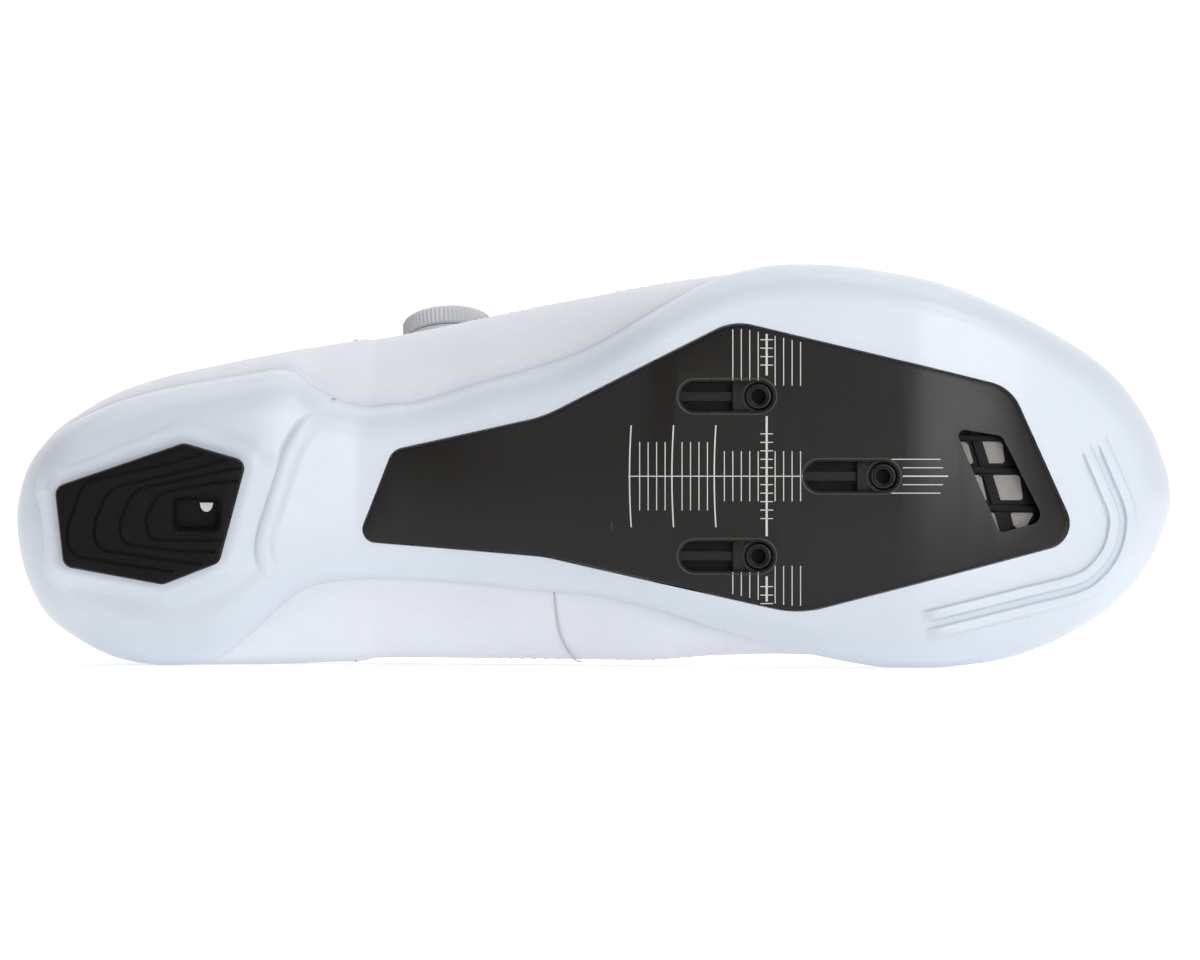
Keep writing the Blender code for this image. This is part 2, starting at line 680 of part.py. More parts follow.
def make_heel_pad(finish):
    """Rubber walking pad with a chamfered rim, on the pedestal."""
    shape = bmesh.new()
    base = shape.faces.new([shape.verts.new((point.x, point.y, 0.0)) for point in rounded(PAD)])
    raised = bmesh.ops.extrude_face_region(shape, geom=[base])
    top = [item for item in raised["geom"] if isinstance(item, bmesh.types.BMVert)]
    bmesh.ops.translate(shape, verts=top, vec=(0.0, 0.0, PAD_THICKNESS))
    rim = [edge for edge in shape.edges if all(vertex.co.z == 0.0 for vertex in edge.verts)]
    bmesh.ops.bevel(shape, geom=rim, offset=PAD_CHAMFER, offset_type="OFFSET", affect="EDGES", segments=1,
                    profile=0.5, material=-1)
    seat = HEEL_LIFT - PEDESTAL_HEIGHT - CLEARANCE - PAD_THICKNESS
    bmesh.ops.translate(shape, verts=shape.verts, vec=(0.0, 0.0, seat))
    return make_object("heel_pad", shape, finish)


def make_insole(finish):
    """Footbed inside the upper, on the turned-in margin."""
    columns = []
    for part in ring():
        edge = part.sole_reach - CUP_FLARE - LIP_WALL - WALL - INSOLE_INSET
        column = []
        for rise in (0.0, INSOLE_THICKNESS):
            rows = [(0.0, rise), ((edge - MARGIN) / 2, rise), (edge - MARGIN, rise), (edge, rise)]
            for out, up in (rows if rise == 0.0 else rows[::-1]):
                column.append(part.point(out, feather(part.point(out, 0.0).x) + WALL + 3 * CLEARANCE + up))
        columns.append(column)
    insole = make_object("insole", sheet(columns, closed=True), finish)
    smooth(insole, 40)
    return insole


def make_tongue(finish):
    """Tongue under the throat, standing a little above the collar."""
    inset = WALL + TONGUE_GAP
    start = COLLAR[-2][0] - TONGUE_REACH / LENGTH
    end = THROAT[-1][0] + TONGUE_REACH / LENGTH
    columns = []
    for k in range(TONGUE_COLUMNS + 1):
        along = start + (end - start) * k / TONGUE_COLUMNS
        column = []
        for j in range(-TONGUE_ROWS, TONGUE_ROWS + 1):
            part = Section(along, "lateral" if j <= 0 else "medial")
            out = abs(j) / TONGUE_ROWS * TONGUE_WIDTH / 2
            share = out / (part.reach - inset)
            low = widest(part.x)
            rise = (1 - share ** BULGE) ** (1 / BULGE) * (ridge(part.x) - inset - low)
            column.append(part.point(out, low + rise))
        columns.append(column)
    tongue = make_object("tongue", sheet(columns, closed=False), finish)
    top = tongue.data.polygons[0].normal.z
    wall = tongue.modifiers.new("Wall", "SOLIDIFY")
    wall.thickness = TONGUE_THICKNESS
    wall.offset = -1.0 if top > 0 else 1.0
    smooth(tongue, 50)
    return tongue


def surface_frame(along, side_name, up):
    """Point on the upper's outer face with its outward and upward directions."""
    part = Section(along, side_name)
    end = part.end_angle()
    here = part.wall_point(end * up)
    ahead = Section(along + NEARBY, side_name)
    forward = (ahead.wall_point(ahead.end_angle() * up) - here).normalized()
    higher = (part.wall_point(end * up + NEARBY) - here).normalized()
    outward = forward.cross(higher).normalized()
    if outward.to_2d().dot(part.outward) < 0:
        outward.negate()
    return here, outward, forward


def seat_on(shape, turned, carrier):
    """Drop the vertices of the lower face onto the carrier, a clearance above it."""
    tree = surface_tree(carrier)
    down = turned.to_3x3() @ Vector((0.0, 0.0, -1.0))
    for vertex in shape.verts:
        if vertex.co.z > CLEARANCE:
            continue
        start = turned @ vertex.co
        hit = tree.ray_cast(start - down * GUIDE_LENGTH, down)[0]
        if hit is not None:
            vertex.co = turned.inverted() @ (hit - down * SEAT_GAP)


def surface_tree(thing):
    """Search tree of an object's finished faces."""
    evaluated = thing.evaluated_get(bpy.context.evaluated_depsgraph_get())
    shape = bmesh.new()
    shape.from_mesh(evaluated.to_mesh())
    tree = BVHTree.FromBMesh(shape)
    shape.free()
    return tree


def turned_to(here, outward, forward):
    """Matrix that stands a piece on the surface, its z outward and its x forward."""
    across = outward.cross(forward).normalized()
    ahead = across.cross(outward).normalized()
    return Matrix.Translation(here) @ Matrix((ahead, across, outward)).transposed().to_4x4()


def make_dial(upper, base_finish, knob_finish):
    """Dial base seated on the lateral side and the knob over it."""
    turned = turned_to(*surface_frame(DIAL_ALONG, "lateral", DIAL_UP))
    columns = []
    for number in range(RIM_STEPS):
        angle = 2 * math.pi * number / RIM_STEPS
        spoke = Vector((math.cos(angle), math.sin(angle), 0.0))
        column = [spoke * (DIAL_DIAMETER / 2 * k / LOWER_ROWS) for k in range(LOWER_ROWS + 1)]
        top = Vector((0.0, 0.0, DIAL_BASE_HEIGHT))
        column += [column[-1] + top, top]
        columns.append(column)
    shape = sheet(columns, closed=True)
    seat_on(shape, turned, upper)
    bmesh.ops.triangulate(shape, faces=shape.faces)
    base = make_object("dial_base", shape, base_finish)
    base.matrix_world = turned
    knob = cylinder("dial_knob", DIAL_DIAMETER - 2 * CLEARANCE, 0.0, DIAL_HEIGHT - DIAL_BASE_HEIGHT, knob_finish,
                    sides=KNOB_STEPS)
    rim = knob.modifiers.new("Rim", "BEVEL")
    rim.width = KNOB_ROUND
    rim.segments = 2
    knob.matrix_world = turned @ Matrix.Translation((0.0, 0.0, DIAL_BASE_HEIGHT + CLEARANCE))
    for thing in (base, knob):
        smooth(thing, 40)
    return base, knob


def guide_side(number):
    """Side that a guide is on: they alternate down the throat, the first on the big-toe side."""
    return "medial" if number % 2 == 0 else "lateral"


def over_throat(along, side_name, up, height):
    """Point above the upper's arc, at a share of the way up to the ridge."""
    part = Section(along, side_name)
    return part.wall_point(math.pi / 2 * up, -height)


def lace_route():
    """Points of the lace from the dial through the guides, over the tongue between them."""
    height = GUIDE_HEIGHT / 2 + LACE_DIAMETER / 2
    stops = [(DIAL_ALONG + DIAL_DIAMETER * DIAL_LACE_EXIT / LENGTH, "lateral", DIAL_UP)]
    for number, (along, up) in enumerate(GUIDES):
        stops.append((along, guide_side(number), up))
    points = []
    for (along, name, up), (next_along, next_name, next_up) in zip(stops, stops[1:]):
        start = arc_share(along, name, up)
        end = arc_share(next_along, next_name, next_up)
        for k in range(LACE_STEPS):
            t = k / LACE_STEPS
            turn = start * (1 - t) + (2 - end) * t
            here = along + (next_along - along) * t
            if turn <= 1:
                points.append(over_throat(here, name, turn, height))
            else:
                points.append(over_throat(here, next_name, 2 - turn, height))
    along, name, up = stops[-1]
    points.append(over_throat(along, name, arc_share(along, name, up), height))
    return points


def arc_share(along, side_name, up):
    """Share of the whole arc up to the ridge that a share of the wall's own arc is."""
    return Section(along, side_name).end_angle() * up / (math.pi / 2)


def tube(name, points, radius, finish):
    """Tube along points, closed at both ends."""
    curve = bpy.data.curves.new(name, "CURVE")
    curve.dimensions = "3D"
    curve.bevel_depth = radius
    curve.bevel_resolution = 2
    curve.use_fill_caps = True
    curve.materials.append(finish)
    line = curve.splines.new("POLY")
    line.points.add(len(points) - 1)
    for point, place in zip(line.points, points):
        point.co = (*place, 1.0)
    thing = bpy.data.objects.new(name, curve)
    bpy.context.collection.objects.link(thing)
    return thing


def as_mesh(thing):
    """Mesh object in place of a curve object."""
    evaluated = thing.evaluated_get(bpy.context.evaluated_depsgraph_get())
    mesh = bpy.data.meshes.new_from_object(evaluated)
    name = thing.name
    bpy.data.objects.remove(thing)
    shape = bmesh.new()
    shape.from_mesh(mesh)
    bmesh.ops.remove_doubles(shape, verts=shape.verts, dist=WELD)
    return make_object(name, shape, mesh.materials[0])


def make_guides(upper, finish):
    """Lace guides seated along the throat, each with the lace's tunnel through it."""
    guides = []
    for number, (along, up) in enumerate(GUIDES):
        turned = turned_to(*surface_frame(along, guide_side(number), up))
        shape = bmesh.new()
        bmesh.ops.create_cube(shape, size=1.0)
        bmesh.ops.scale(shape, vec=(GUIDE_LENGTH, GUIDE_WIDTH, GUIDE_HEIGHT), verts=shape.verts)
        bmesh.ops.translate(shape, vec=(0.0, 0.0, GUIDE_HEIGHT / 2), verts=shape.verts)
        low = [face for face in shape.faces if face.calc_center_median().z < GUIDE_HEIGHT / 4]
        bmesh.ops.subdivide_edges(shape, edges=low[0].edges[:], cuts=2, use_grid_fill=True)
        seat_on(shape, turned, upper)
        bmesh.ops.triangulate(shape, faces=shape.faces)
        guide = make_object("lace_guide_%d" % (number + 1), shape, finish)
        guide.matrix_world = turned
        bpy.context.view_layer.update()
        route = lace_route()
        route.append(route[-1] + (route[-1] - route[-2]).normalized() * 2 * CLEARANCE)
        tunnel = as_mesh(tube("tunnel", route, LACE_DIAMETER / 2 + CLEARANCE, finish))
        combine(guide, tunnel, "DIFFERENCE")
        guides.append(guide)
    return guides


def world_points(things):
    """Corners of all the finished shapes, in world space."""
    graph = bpy.context.evaluated_depsgraph_get()
    points = []
    for thing in things:
        mesh = thing.evaluated_get(graph).to_mesh()
        points += [thing.matrix_world @ vertex.co for vertex in mesh.vertices]
    return points


def resting_turn(points, balance):
    """Turn that brings the face of the hull under the balance point down onto the floor."""
    turn = Matrix.Identity(3)
    for _ in range(SETTLE_ROUNDS):
        shape = bmesh.new()
        for point in points:
            shape.verts.new(turn @ point)
        bmesh.ops.convex_hull(shape, input=shape.verts, use_existing_faces=False)
        under = turn @ balance
        down = Vector((0.0, 0.0, -1.0))
        best = None
        for face in shape.faces:
            normal = face.normal
            if normal.z > -0.5:
                continue
            corners = [vertex.co.to_2d() for vertex in face.verts]
            sides = [(b - a).cross(under.to_2d() - a) for a, b in zip(corners, corners[1:] + corners[:1])]
            if all(value <= 0 for value in sides) or all(value >= 0 for value in sides):
                best = normal.copy()
        shape.free()
        if best is None or best.angle(down) < 1e-5:
            break
        turn = best.rotation_difference(down).to_matrix() @ turn
    return turn


def lay_down(things):
    """Lay the shoe on its big-toe side, its floor point at the origin, toe along x."""
    on_side = Matrix.Rotation(-math.pi / 2, 3, "X")
    points = [on_side @ point for point in world_points(things)]
    balance = on_side @ Vector((LENGTH * BALANCE_ALONG, 0.0, INSTEP_HEIGHT * BALANCE_UP))
    turn = resting_turn(points, balance) @ on_side
    toe = turn @ Vector((1.0, 0.0, 0.0))
    turn = Matrix.Rotation(-math.atan2(toe.y, toe.x), 3, "Z") @ turn
    placed = [turn @ point for point in world_points(things)]
    low = [min(point[axis] for point in placed) for axis in range(3)]
    high = [max(point[axis] for point in placed) for axis in range(3)]
    shift = Vector((-(low[0] + high[0]) / 2, -(low[1] + high[1]) / 2, -low[2]))
    holder = bpy.data.objects.new("lying_shoe", None)
    bpy.context.collection.objects.link(holder)
    for thing in things:
        thing.parent = holder
    holder.matrix_world = Matrix.Translation(shift) @ turn.to_4x4()


def main():
    for thing in list(bpy.data.objects):
        bpy.data.objects.remove(thing)
    white = material("white_sole", (0.70, 0.74, 0.80), 0.45)
    cloth = material("white_upper", (0.76, 0.77, 0.82), 0.55)
    black = material("black_plate", (0.035, 0.033, 0.030), 0.30)
    rubber = material("black_rubber", (0.016, 0.015, 0.016), 0.60)
    steel = material("nut_steel", (0.42, 0.42, 0.42), 0.35, 1.0)
    grey = material("grey_trim", (0.33, 0.33, 0.35), 0.45)
    footbed = material("footbed", (0.62, 0.64, 0.68), 0.80)

    upper = make_upper(cloth)
    sole = make_sole(white)
    add_sole_forms(sole, white)
    things = [upper, sole, make_plate(black), make_tray(black), make_vent_grille(black), make_heel_pad(rubber),
              make_insole(footbed), make_tongue(cloth)]
    for name, (front, across) in slot_places().items():
        things.append(make_nut(name, front, across, steel))
    bpy.context.view_layer.update()
    things += make_dial(upper, grey, grey)
    things += make_guides(upper, grey)
    things.append(tube("lace", lace_route(), LACE_DIAMETER / 2, grey))
    bpy.context.view_layer.update()
    lay_down(things)


if __name__ == "__main__":
    main()
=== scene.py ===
"""Looks of a white road cycling shoe, lying on its side with its sole to the camera."""
import json
import math

import bmesh
import bpy
from bpy.props import FloatProperty, FloatVectorProperty, IntProperty, PointerProperty
from mathutils import Matrix, Vector
from mathutils.bvhtree import BVHTree


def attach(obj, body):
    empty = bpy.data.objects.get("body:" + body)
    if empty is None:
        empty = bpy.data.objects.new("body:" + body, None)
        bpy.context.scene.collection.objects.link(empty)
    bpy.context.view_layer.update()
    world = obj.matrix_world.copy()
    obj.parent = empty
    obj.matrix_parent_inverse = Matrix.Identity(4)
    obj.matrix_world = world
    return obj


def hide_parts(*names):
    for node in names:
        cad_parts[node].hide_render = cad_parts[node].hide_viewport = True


bl_info = {
    "name": "Cycling shoe",
    "version": (1, 0, 0),
    "blender": (4, 5, 0),
    "location": "3D View > Sidebar > Shoe",
    "description": "Builds the finished pieces of a white cycling shoe",
    "category": "Object",
}

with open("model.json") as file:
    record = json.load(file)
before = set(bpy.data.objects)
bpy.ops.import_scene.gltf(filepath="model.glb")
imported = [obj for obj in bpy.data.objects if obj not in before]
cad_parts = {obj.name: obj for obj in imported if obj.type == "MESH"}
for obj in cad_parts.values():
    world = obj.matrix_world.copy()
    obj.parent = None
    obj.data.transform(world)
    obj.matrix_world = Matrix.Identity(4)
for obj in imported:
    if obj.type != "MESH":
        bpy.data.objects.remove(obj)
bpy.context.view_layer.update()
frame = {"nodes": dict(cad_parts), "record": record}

SHOE = "shoe"

# Plan outline: along as a share of the length, the rest as shares of the width at that section
OUTLINE_COLUMNS = ("along", "lateral", "medial", "sole_lateral", "sole_medial")
OUTLINE = (
    (0.000, 0.076, 0.076, 0.076, 0.076),
    (0.007, -0.106, 0.260, -0.082, 0.252),
    (0.025, -0.228, 0.404, -0.194, 0.400),
    (0.050, -0.313, 0.490, -0.272, 0.488),
    (0.086, -0.396, 0.567, -0.348, 0.566),
    (0.129, -0.455, 0.597, -0.400, 0.596),
    (0.171, -0.493, 0.602, -0.431, 0.574),
    (0.204, -0.522, 0.603, -0.454, 0.480),
    (0.225, -0.535, 0.598, -0.466, 0.397),
    (0.243, -0.543, 0.590, -0.453, 0.334),
    (0.264, -0.547, 0.577, -0.382, 0.292),
    (0.300, -0.550, 0.550, -0.316, 0.267),
    (0.325, -0.549, 0.530, -0.312, 0.259),
    (0.350, -0.547, 0.512, -0.310, 0.253),
    (0.400, -0.544, 0.478, -0.342, 0.247),
    (0.450, -0.541, 0.447, -0.362, 0.248),
    (0.500, -0.539, 0.424, -0.397, 0.247),
    (0.550, -0.545, 0.408, -0.468, 0.269),
    (0.600, -0.559, 0.392, -0.537, 0.311),
    (0.650, -0.571, 0.388, -0.574, 0.352),
    (0.700, -0.569, 0.390, -0.576, 0.387),
    (0.750, -0.549, 0.394, -0.559, 0.410),
    (0.800, -0.517, 0.388, -0.528, 0.409),
    (0.850, -0.463, 0.372, -0.474, 0.391),
    (0.893, -0.404, 0.337, -0.414, 0.351),
    (0.929, -0.344, 0.288, -0.353, 0.298),
    (0.957, -0.275, 0.230, -0.283, 0.238),
    (0.982, -0.175, 0.142, -0.180, 0.147),
    (0.996, -0.078, 0.055, -0.076, 0.053),
    (1.000, -0.010, -0.010, -0.010, -0.010),
)
HEEL_CENTRE = 0.129
TOE_CENTRE = 0.850
WIDTH_CHANGE = (0.20, 0.60)

# Side profile: along as a share of the length, heel, arch and toe as shares of the lifts under the sole,
# thick and lip as shares of the sole's thickness, widest and ridge as shares of the instep's height
SIDE_COLUMNS = ("along", "heel", "arch", "toe", "thick", "lip", "widest", "ridge")
SIDE = (
    (0.00, 1.90, 0.00, 0.00, 0.60, 0.95, 0.18, 1.53),
    (0.03, 1.20, 0.00, 0.00, 0.75, 0.95, 0.19, 1.53),
    (0.06, 1.00, 0.00, 0.00, 0.85, 0.95, 0.20, 1.52),
    (0.21, 1.00, 0.00, 0.00, 0.85, 0.95, 0.21, 1.44),
    (0.25, 0.60, 0.35, 0.00, 0.78, 0.70, 0.21, 1.37),
    (0.30, 0.20, 0.85, 0.00, 0.68, 0.35, 0.21, 1.28),
    (0.36, 0.00, 1.00, 0.00, 0.64, 0.30, 0.20, 1.18),
    (0.41, 0.00, 0.86, 0.00, 0.72, 0.30, 0.20, 1.10),
    (0.47, 0.00, 0.53, 0.00, 0.88, 0.35, 0.18, 0.99),
    (0.52, 0.00, 0.18, 0.00, 0.98, 0.45, 0.17, 0.91),
    (0.56, 0.00, 0.00, 0.00, 1.00, 0.58, 0.16, 0.85),
    (0.77, 0.00, 0.00, 0.00, 1.00, 0.70, 0.14, 0.580),
    (0.81, 0.00, 0.00, 0.07, 0.97, 0.70, 0.13, 0.535),
    (0.86, 0.00, 0.00, 0.22, 0.90, 0.70, 0.10, 0.500),
    (0.91, 0.00, 0.00, 0.44, 0.80, 0.70, 0.08, 0.490),
    (0.96, 0.00, 0.00, 0.72, 0.68, 0.60, 0.06, 0.485),
    (1.00, 0.00, 0.00, 1.00, 0.50, 0.50, 0.04, 0.480),
)
# Collar line: along as a share of the length, height as a share of the collar's
COLLAR = ((0.00, 1.00), (0.05, 0.95), (0.129, 0.81), (0.204, 0.76), (0.264, 0.80), (0.31, 0.95),
          (0.345, 1.14), (0.37, 1.5))
# Throat: along as a share of the length, gap as a share of the throat's width
THROAT = ((0.30, 1.05), (0.40, 0.96), (0.50, 0.90), (0.60, 0.74), (0.66, 0.50), (0.695, 0.0))

# Corners: along as a share of the length, across as a share of the ball width, corner radius in metres
PLATE = (
    (0.2975, 0.099, 0.003), (0.3275, -0.121, 0.004), (0.457, -0.202, 0.030), (0.618, -0.433, 0.012),
    (0.854, -0.272, 0.010), (0.914, 0.097, 0.006), (0.6735, 0.274, 0.025), (0.457, 0.136, 0.030),
)
VENT = ((0.8055, -0.175, 0.0015), (0.8465, -0.156, 0.002), (0.884, 0.051, 0.0025), (0.8445, 0.080, 0.0015))
PAD = (
    (0.0418, -0.032, 0.0015), (0.1514, -0.139, 0.0015), (0.2043, -0.095, 0.0015), (0.1811, 0.152, 0.0015),
    (0.1336, 0.205, 0.0015), (0.0493, 0.161, 0.0015),
)
HEEL_RIDGE = (
    (0.2875, -0.232), (0.2720, -0.207), (0.2543, -0.176), (0.2414, -0.114), (0.2339, -0.051),
    (0.2261, 0.016), (0.2186, 0.085), (0.2179, 0.129), (0.2246, 0.169), (0.2371, 0.192), (0.2611, 0.199),
    (0.2925, 0.199),
)
TOE_RIB = (
    (0.9157, -0.127), (0.9300, -0.035), (0.9396, 0.029), (0.9404, 0.067), (0.9354, 0.116), (0.9239, 0.157),
    (0.9089, 0.182), (0.8646, 0.212), (0.7968, 0.258), (0.7764, 0.270),
)
# Guides: along as a share of the length, up as a share of the wall's arc above its widest point
GUIDES = ((0.42, 0.88), (0.49, 0.86), (0.56, 0.84), (0.63, 0.84))
DIAL_ALONG = 0.368
DIAL_UP = 0.47


def metres(label, text, value):
    """Property for a size in metres."""
    return FloatProperty(name=label, description=text, default=value, unit="LENGTH")


def tint(label, text, value):
    """Property for a colour."""
    return FloatVectorProperty(name=label, description=text, default=value, subtype="COLOR")


class ShoeSizes(bpy.types.PropertyGroup):
    """Sizes of the shoe, the same as its construction's."""
    length: metres("Length", "Heel to toe", 0.280)
    ball_width: metres("Ball width", "Width at the ball", 0.098)
    heel_width: metres("Heel width", "Width at the heel", 0.067)
    arch_rise: metres("Arch rise", "Height of the arch", 0.0155)
    heel_lift: metres("Heel lift", "Heel block over the floor plane", 0.008)
    toe_spring: metres("Toe spring", "Rise of the toe", 0.023)
    sole_thickness: metres("Sole", "Thickness at the ball", 0.0085)
    instep_height: metres("Instep", "Height of the instep", 0.098)
    collar_height: metres("Collar", "Height at the back", 0.088)
    throat_width: metres("Throat", "Gap of the throat", 0.032)
    wall: metres("Wall", "Thickness of the upper", 0.0018)
    margin: metres("Margin", "Turned-in edge under the foot", 0.011)
    edge_round: metres("Edge round", "Round edge of the sole", 0.0035)
    lip_wall: metres("Lip", "Wall of the sole's lip", 0.0014)
    cup_flare: metres("Flare", "Flare of the sole's side", 0.0035)
    shell_gap: metres("Shell gap", "Between sole and upper", 0.0006)
    clearance: metres("Clearance", "Between fitted pieces", 0.0003)
    plate_thickness: metres("Plate", "Plate thickness", 0.0026)
    plate_proud: metres("Plate proud", "Plate above the sole", 0.0007)
    nut_spacing: metres("Nut spacing", "Between the rear nuts", 0.038)
    front_nut_ahead: metres("Front nut", "Ahead of the rear pair", 0.0296)
    slot_length: metres("Slot length", "Length of a cleat slot", 0.0223)
    slot_width: metres("Slot width", "Width of a cleat slot", 0.0071)
    slot_chamfer: metres("Slot chamfer", "Rim of a slot", 0.0008)
    slot_axis: metres("Slot axis", "Sideways place of the front slot", -0.0057)
    rear_slot_end: metres("Rear slots", "Front end of the rear slots", 0.1826)
    barrel: metres("Barrel", "Diameter of a nut's barrel", 0.0061)
    thread: metres("Thread", "Hole in a nut", 0.0042)
    barrel_recess: metres("Recess", "Nut below the plate's face", 0.0013)
    carrier_length: metres("Carrier length", "Length of a nut's carrier", 0.0125)
    carrier_width: metres("Carrier width", "Width of a nut's carrier", 0.0104)
    carrier_thickness: metres("Carrier", "Thickness of a nut's carrier", 0.0016)
    pad_thickness: metres("Pad", "Thickness of the walking pad", 0.0042)
    pad_corner: metres("Pad corner", "Round corners of the pad", 0.0026)
    pedestal_height: metres("Pedestal", "Block under the pad", 0.0035)
    vent_depth: metres("Grille", "Depth of the grille", 0.0016)
    vent_frame: metres("Grille frame", "Frame round the window", 0.0016)
    collar_roll: metres("Collar roll", "Radius of the padded collar", 0.0026)
    tongue_width: metres("Tongue", "Width of the tongue", 0.058)
    tongue_reach: metres("Tongue reach", "Tongue past the throat", 0.012)
    tongue_gap: metres("Tongue gap", "Between tongue and upper", 0.0018)
    dial: metres("Dial", "Diameter of the dial", 0.023)
    dial_height: metres("Dial height", "Height of the dial", 0.009)
    dial_base: metres("Dial base", "Height of its base", 0.0035)
    guide_height: metres("Guide", "Height of a lace guide", 0.0042)
    lace: metres("Lace", "Diameter of the lace", 0.0014)
    bead_reach: metres("Bead reach", "Rise of the sole's edge that a bead follows", 0.0035)
    column_steps: IntProperty(name="Columns", description="Steps between two sections", default=5, min=1)


class ShoeColours(bpy.types.PropertyGroup):
    """Colours of the shoe's materials."""
    sole: tint("Sole", "White moulding", (0.62, 0.672, 0.742))
    upper: tint("Upper", "White synthetic", (0.71, 0.73, 0.785))
    lining: tint("Lining", "Inner cloth", (0.52, 0.54, 0.58))
    plate: tint("Plate", "Black plate", (0.0055, 0.0045, 0.0036))
    # Rim: lighter than the plate as a painted highlight on the slots' chamfers, and also the colour of the
    # small real scuff on the plate
    rim: tint("Rim", "Worn rims of the slots", (0.036, 0.032, 0.028))
    marks: tint("Marks", "Printed scale", (0.62, 0.62, 0.60))
    rubber: tint("Rubber", "Walking pad", (0.0045, 0.004, 0.0045))
    moulded: tint("Moulded", "Black trim", (0.005, 0.005, 0.005))
    window: tint("Window", "Mesh behind the vent window", (0.34, 0.32, 0.30))
    thread: tint("Thread", "Stitches", (0.46, 0.46, 0.48))
    # Pinholes are not cut: this dark colour on discs over the upper is painted shade inside the holes
    pinhole: tint("Pinholes", "Depth of the pinholes", (0.16, 0.16, 0.18))
    trim: tint("Trim", "Pale grey trim", (0.60, 0.61, 0.64))
    steel: tint("Steel", "Dull steel of the nuts", (0.022, 0.021, 0.020))
    footbed: tint("Footbed", "Mesh of the footbed", (0.62, 0.65, 0.70))
    tongue: tint("Tongue", "Cloth of the tongue", (0.72, 0.73, 0.79))
    lace: tint("Lace", "Coat of the lace", (0.30, 0.30, 0.32))
    paper: tint("Paper", "Floor and backdrop", (0.93, 0.93, 0.93))


def sizes():
    """The shoe's sizes."""
    return bpy.context.scene.shoe_sizes


def colours():
    """The shoe's colours."""
    return bpy.context.scene.shoe_colours


def curve_value(rows, column, along):
    """Smooth value of one column of a table, without overshoot between its rows."""
    xs = [row[0] for row in rows]
    ys = [row[column] for row in rows]
    if along <= xs[0]:
        return ys[0]
    if along >= xs[-1]:
        return ys[-1]
    steps = [xs[i + 1] - xs[i] for i in range(len(xs) - 1)]
    slopes = [(ys[i + 1] - ys[i]) / steps[i] for i in range(len(steps))]
    tangents = [slopes[0]]
    for before, after in zip(slopes, slopes[1:]):
        tangents.append(0.0 if before * after <= 0 else 2 * before * after / (before + after))
    tangents.append(slopes[-1])
    i = next(k for k in range(len(steps)) if along <= xs[k + 1])
    t = (along - xs[i]) / steps[i]
    rise = (2 * t ** 3 - 3 * t ** 2 + 1) * ys[i] + (-2 * t ** 3 + 3 * t ** 2) * ys[i + 1]
    lean = (t ** 3 - 2 * t ** 2 + t) * tangents[i] + (t ** 3 - t ** 2) * tangents[i + 1]
    return rise + lean * steps[i]


def width_at(along):
    """Width that the outline's shares are of, from the heel's to the ball's."""
    start, end = WIDTH_CHANGE
    t = min(max((along - start) / (end - start), 0.0), 1.0)
    return sizes().heel_width + (sizes().ball_width - sizes().heel_width) * t * t * (3 - 2 * t)


def side(name, x):
    """One column of the side profile at a distance from the heel."""
    return curve_value(SIDE, SIDE_COLUMNS.index(name), x / sizes().length)


def underside(x):
    """Height of the sole's lower surface."""
    s = sizes()
    return s.heel_lift * side("heel", x) + s.arch_rise * side("arch", x) + s.toe_spring * side("toe", x)


def feather(x):
    """Height where the upper turns in under the foot."""
    return underside(x) + sizes().sole_thickness * side("thick", x)


def lip(x):
    """Height of the sole's upper edge."""
    return feather(x) + sizes().sole_thickness * side("lip", x)


def widest(x):
    """Height at which the upper is widest."""
    return lip(x) + sizes().instep_height * side("widest", x)


def ridge(x):
    """Height of the line over the instep, also where the shoe is open there."""
    return sizes().instep_height * side("ridge", x)


def middle(along):
    """Sideways place of the middle of the outline."""
    pair = [curve_value(OUTLINE, OUTLINE_COLUMNS.index(name), along) for name in ("lateral", "medial")]
    return sum(pair) / 2 * width_at(along)


def plate_face(x):
    """Height of the plate's outer face."""
    return underside(x) - sizes().plate_proud


def plate_back(x):
    """Height of the plate's inner face."""
    return plate_face(x) + sizes().plate_thickness


# Power of the upper's arc over the foot: 2 is an ellipse, and more is squarer
BULGE = 2.4


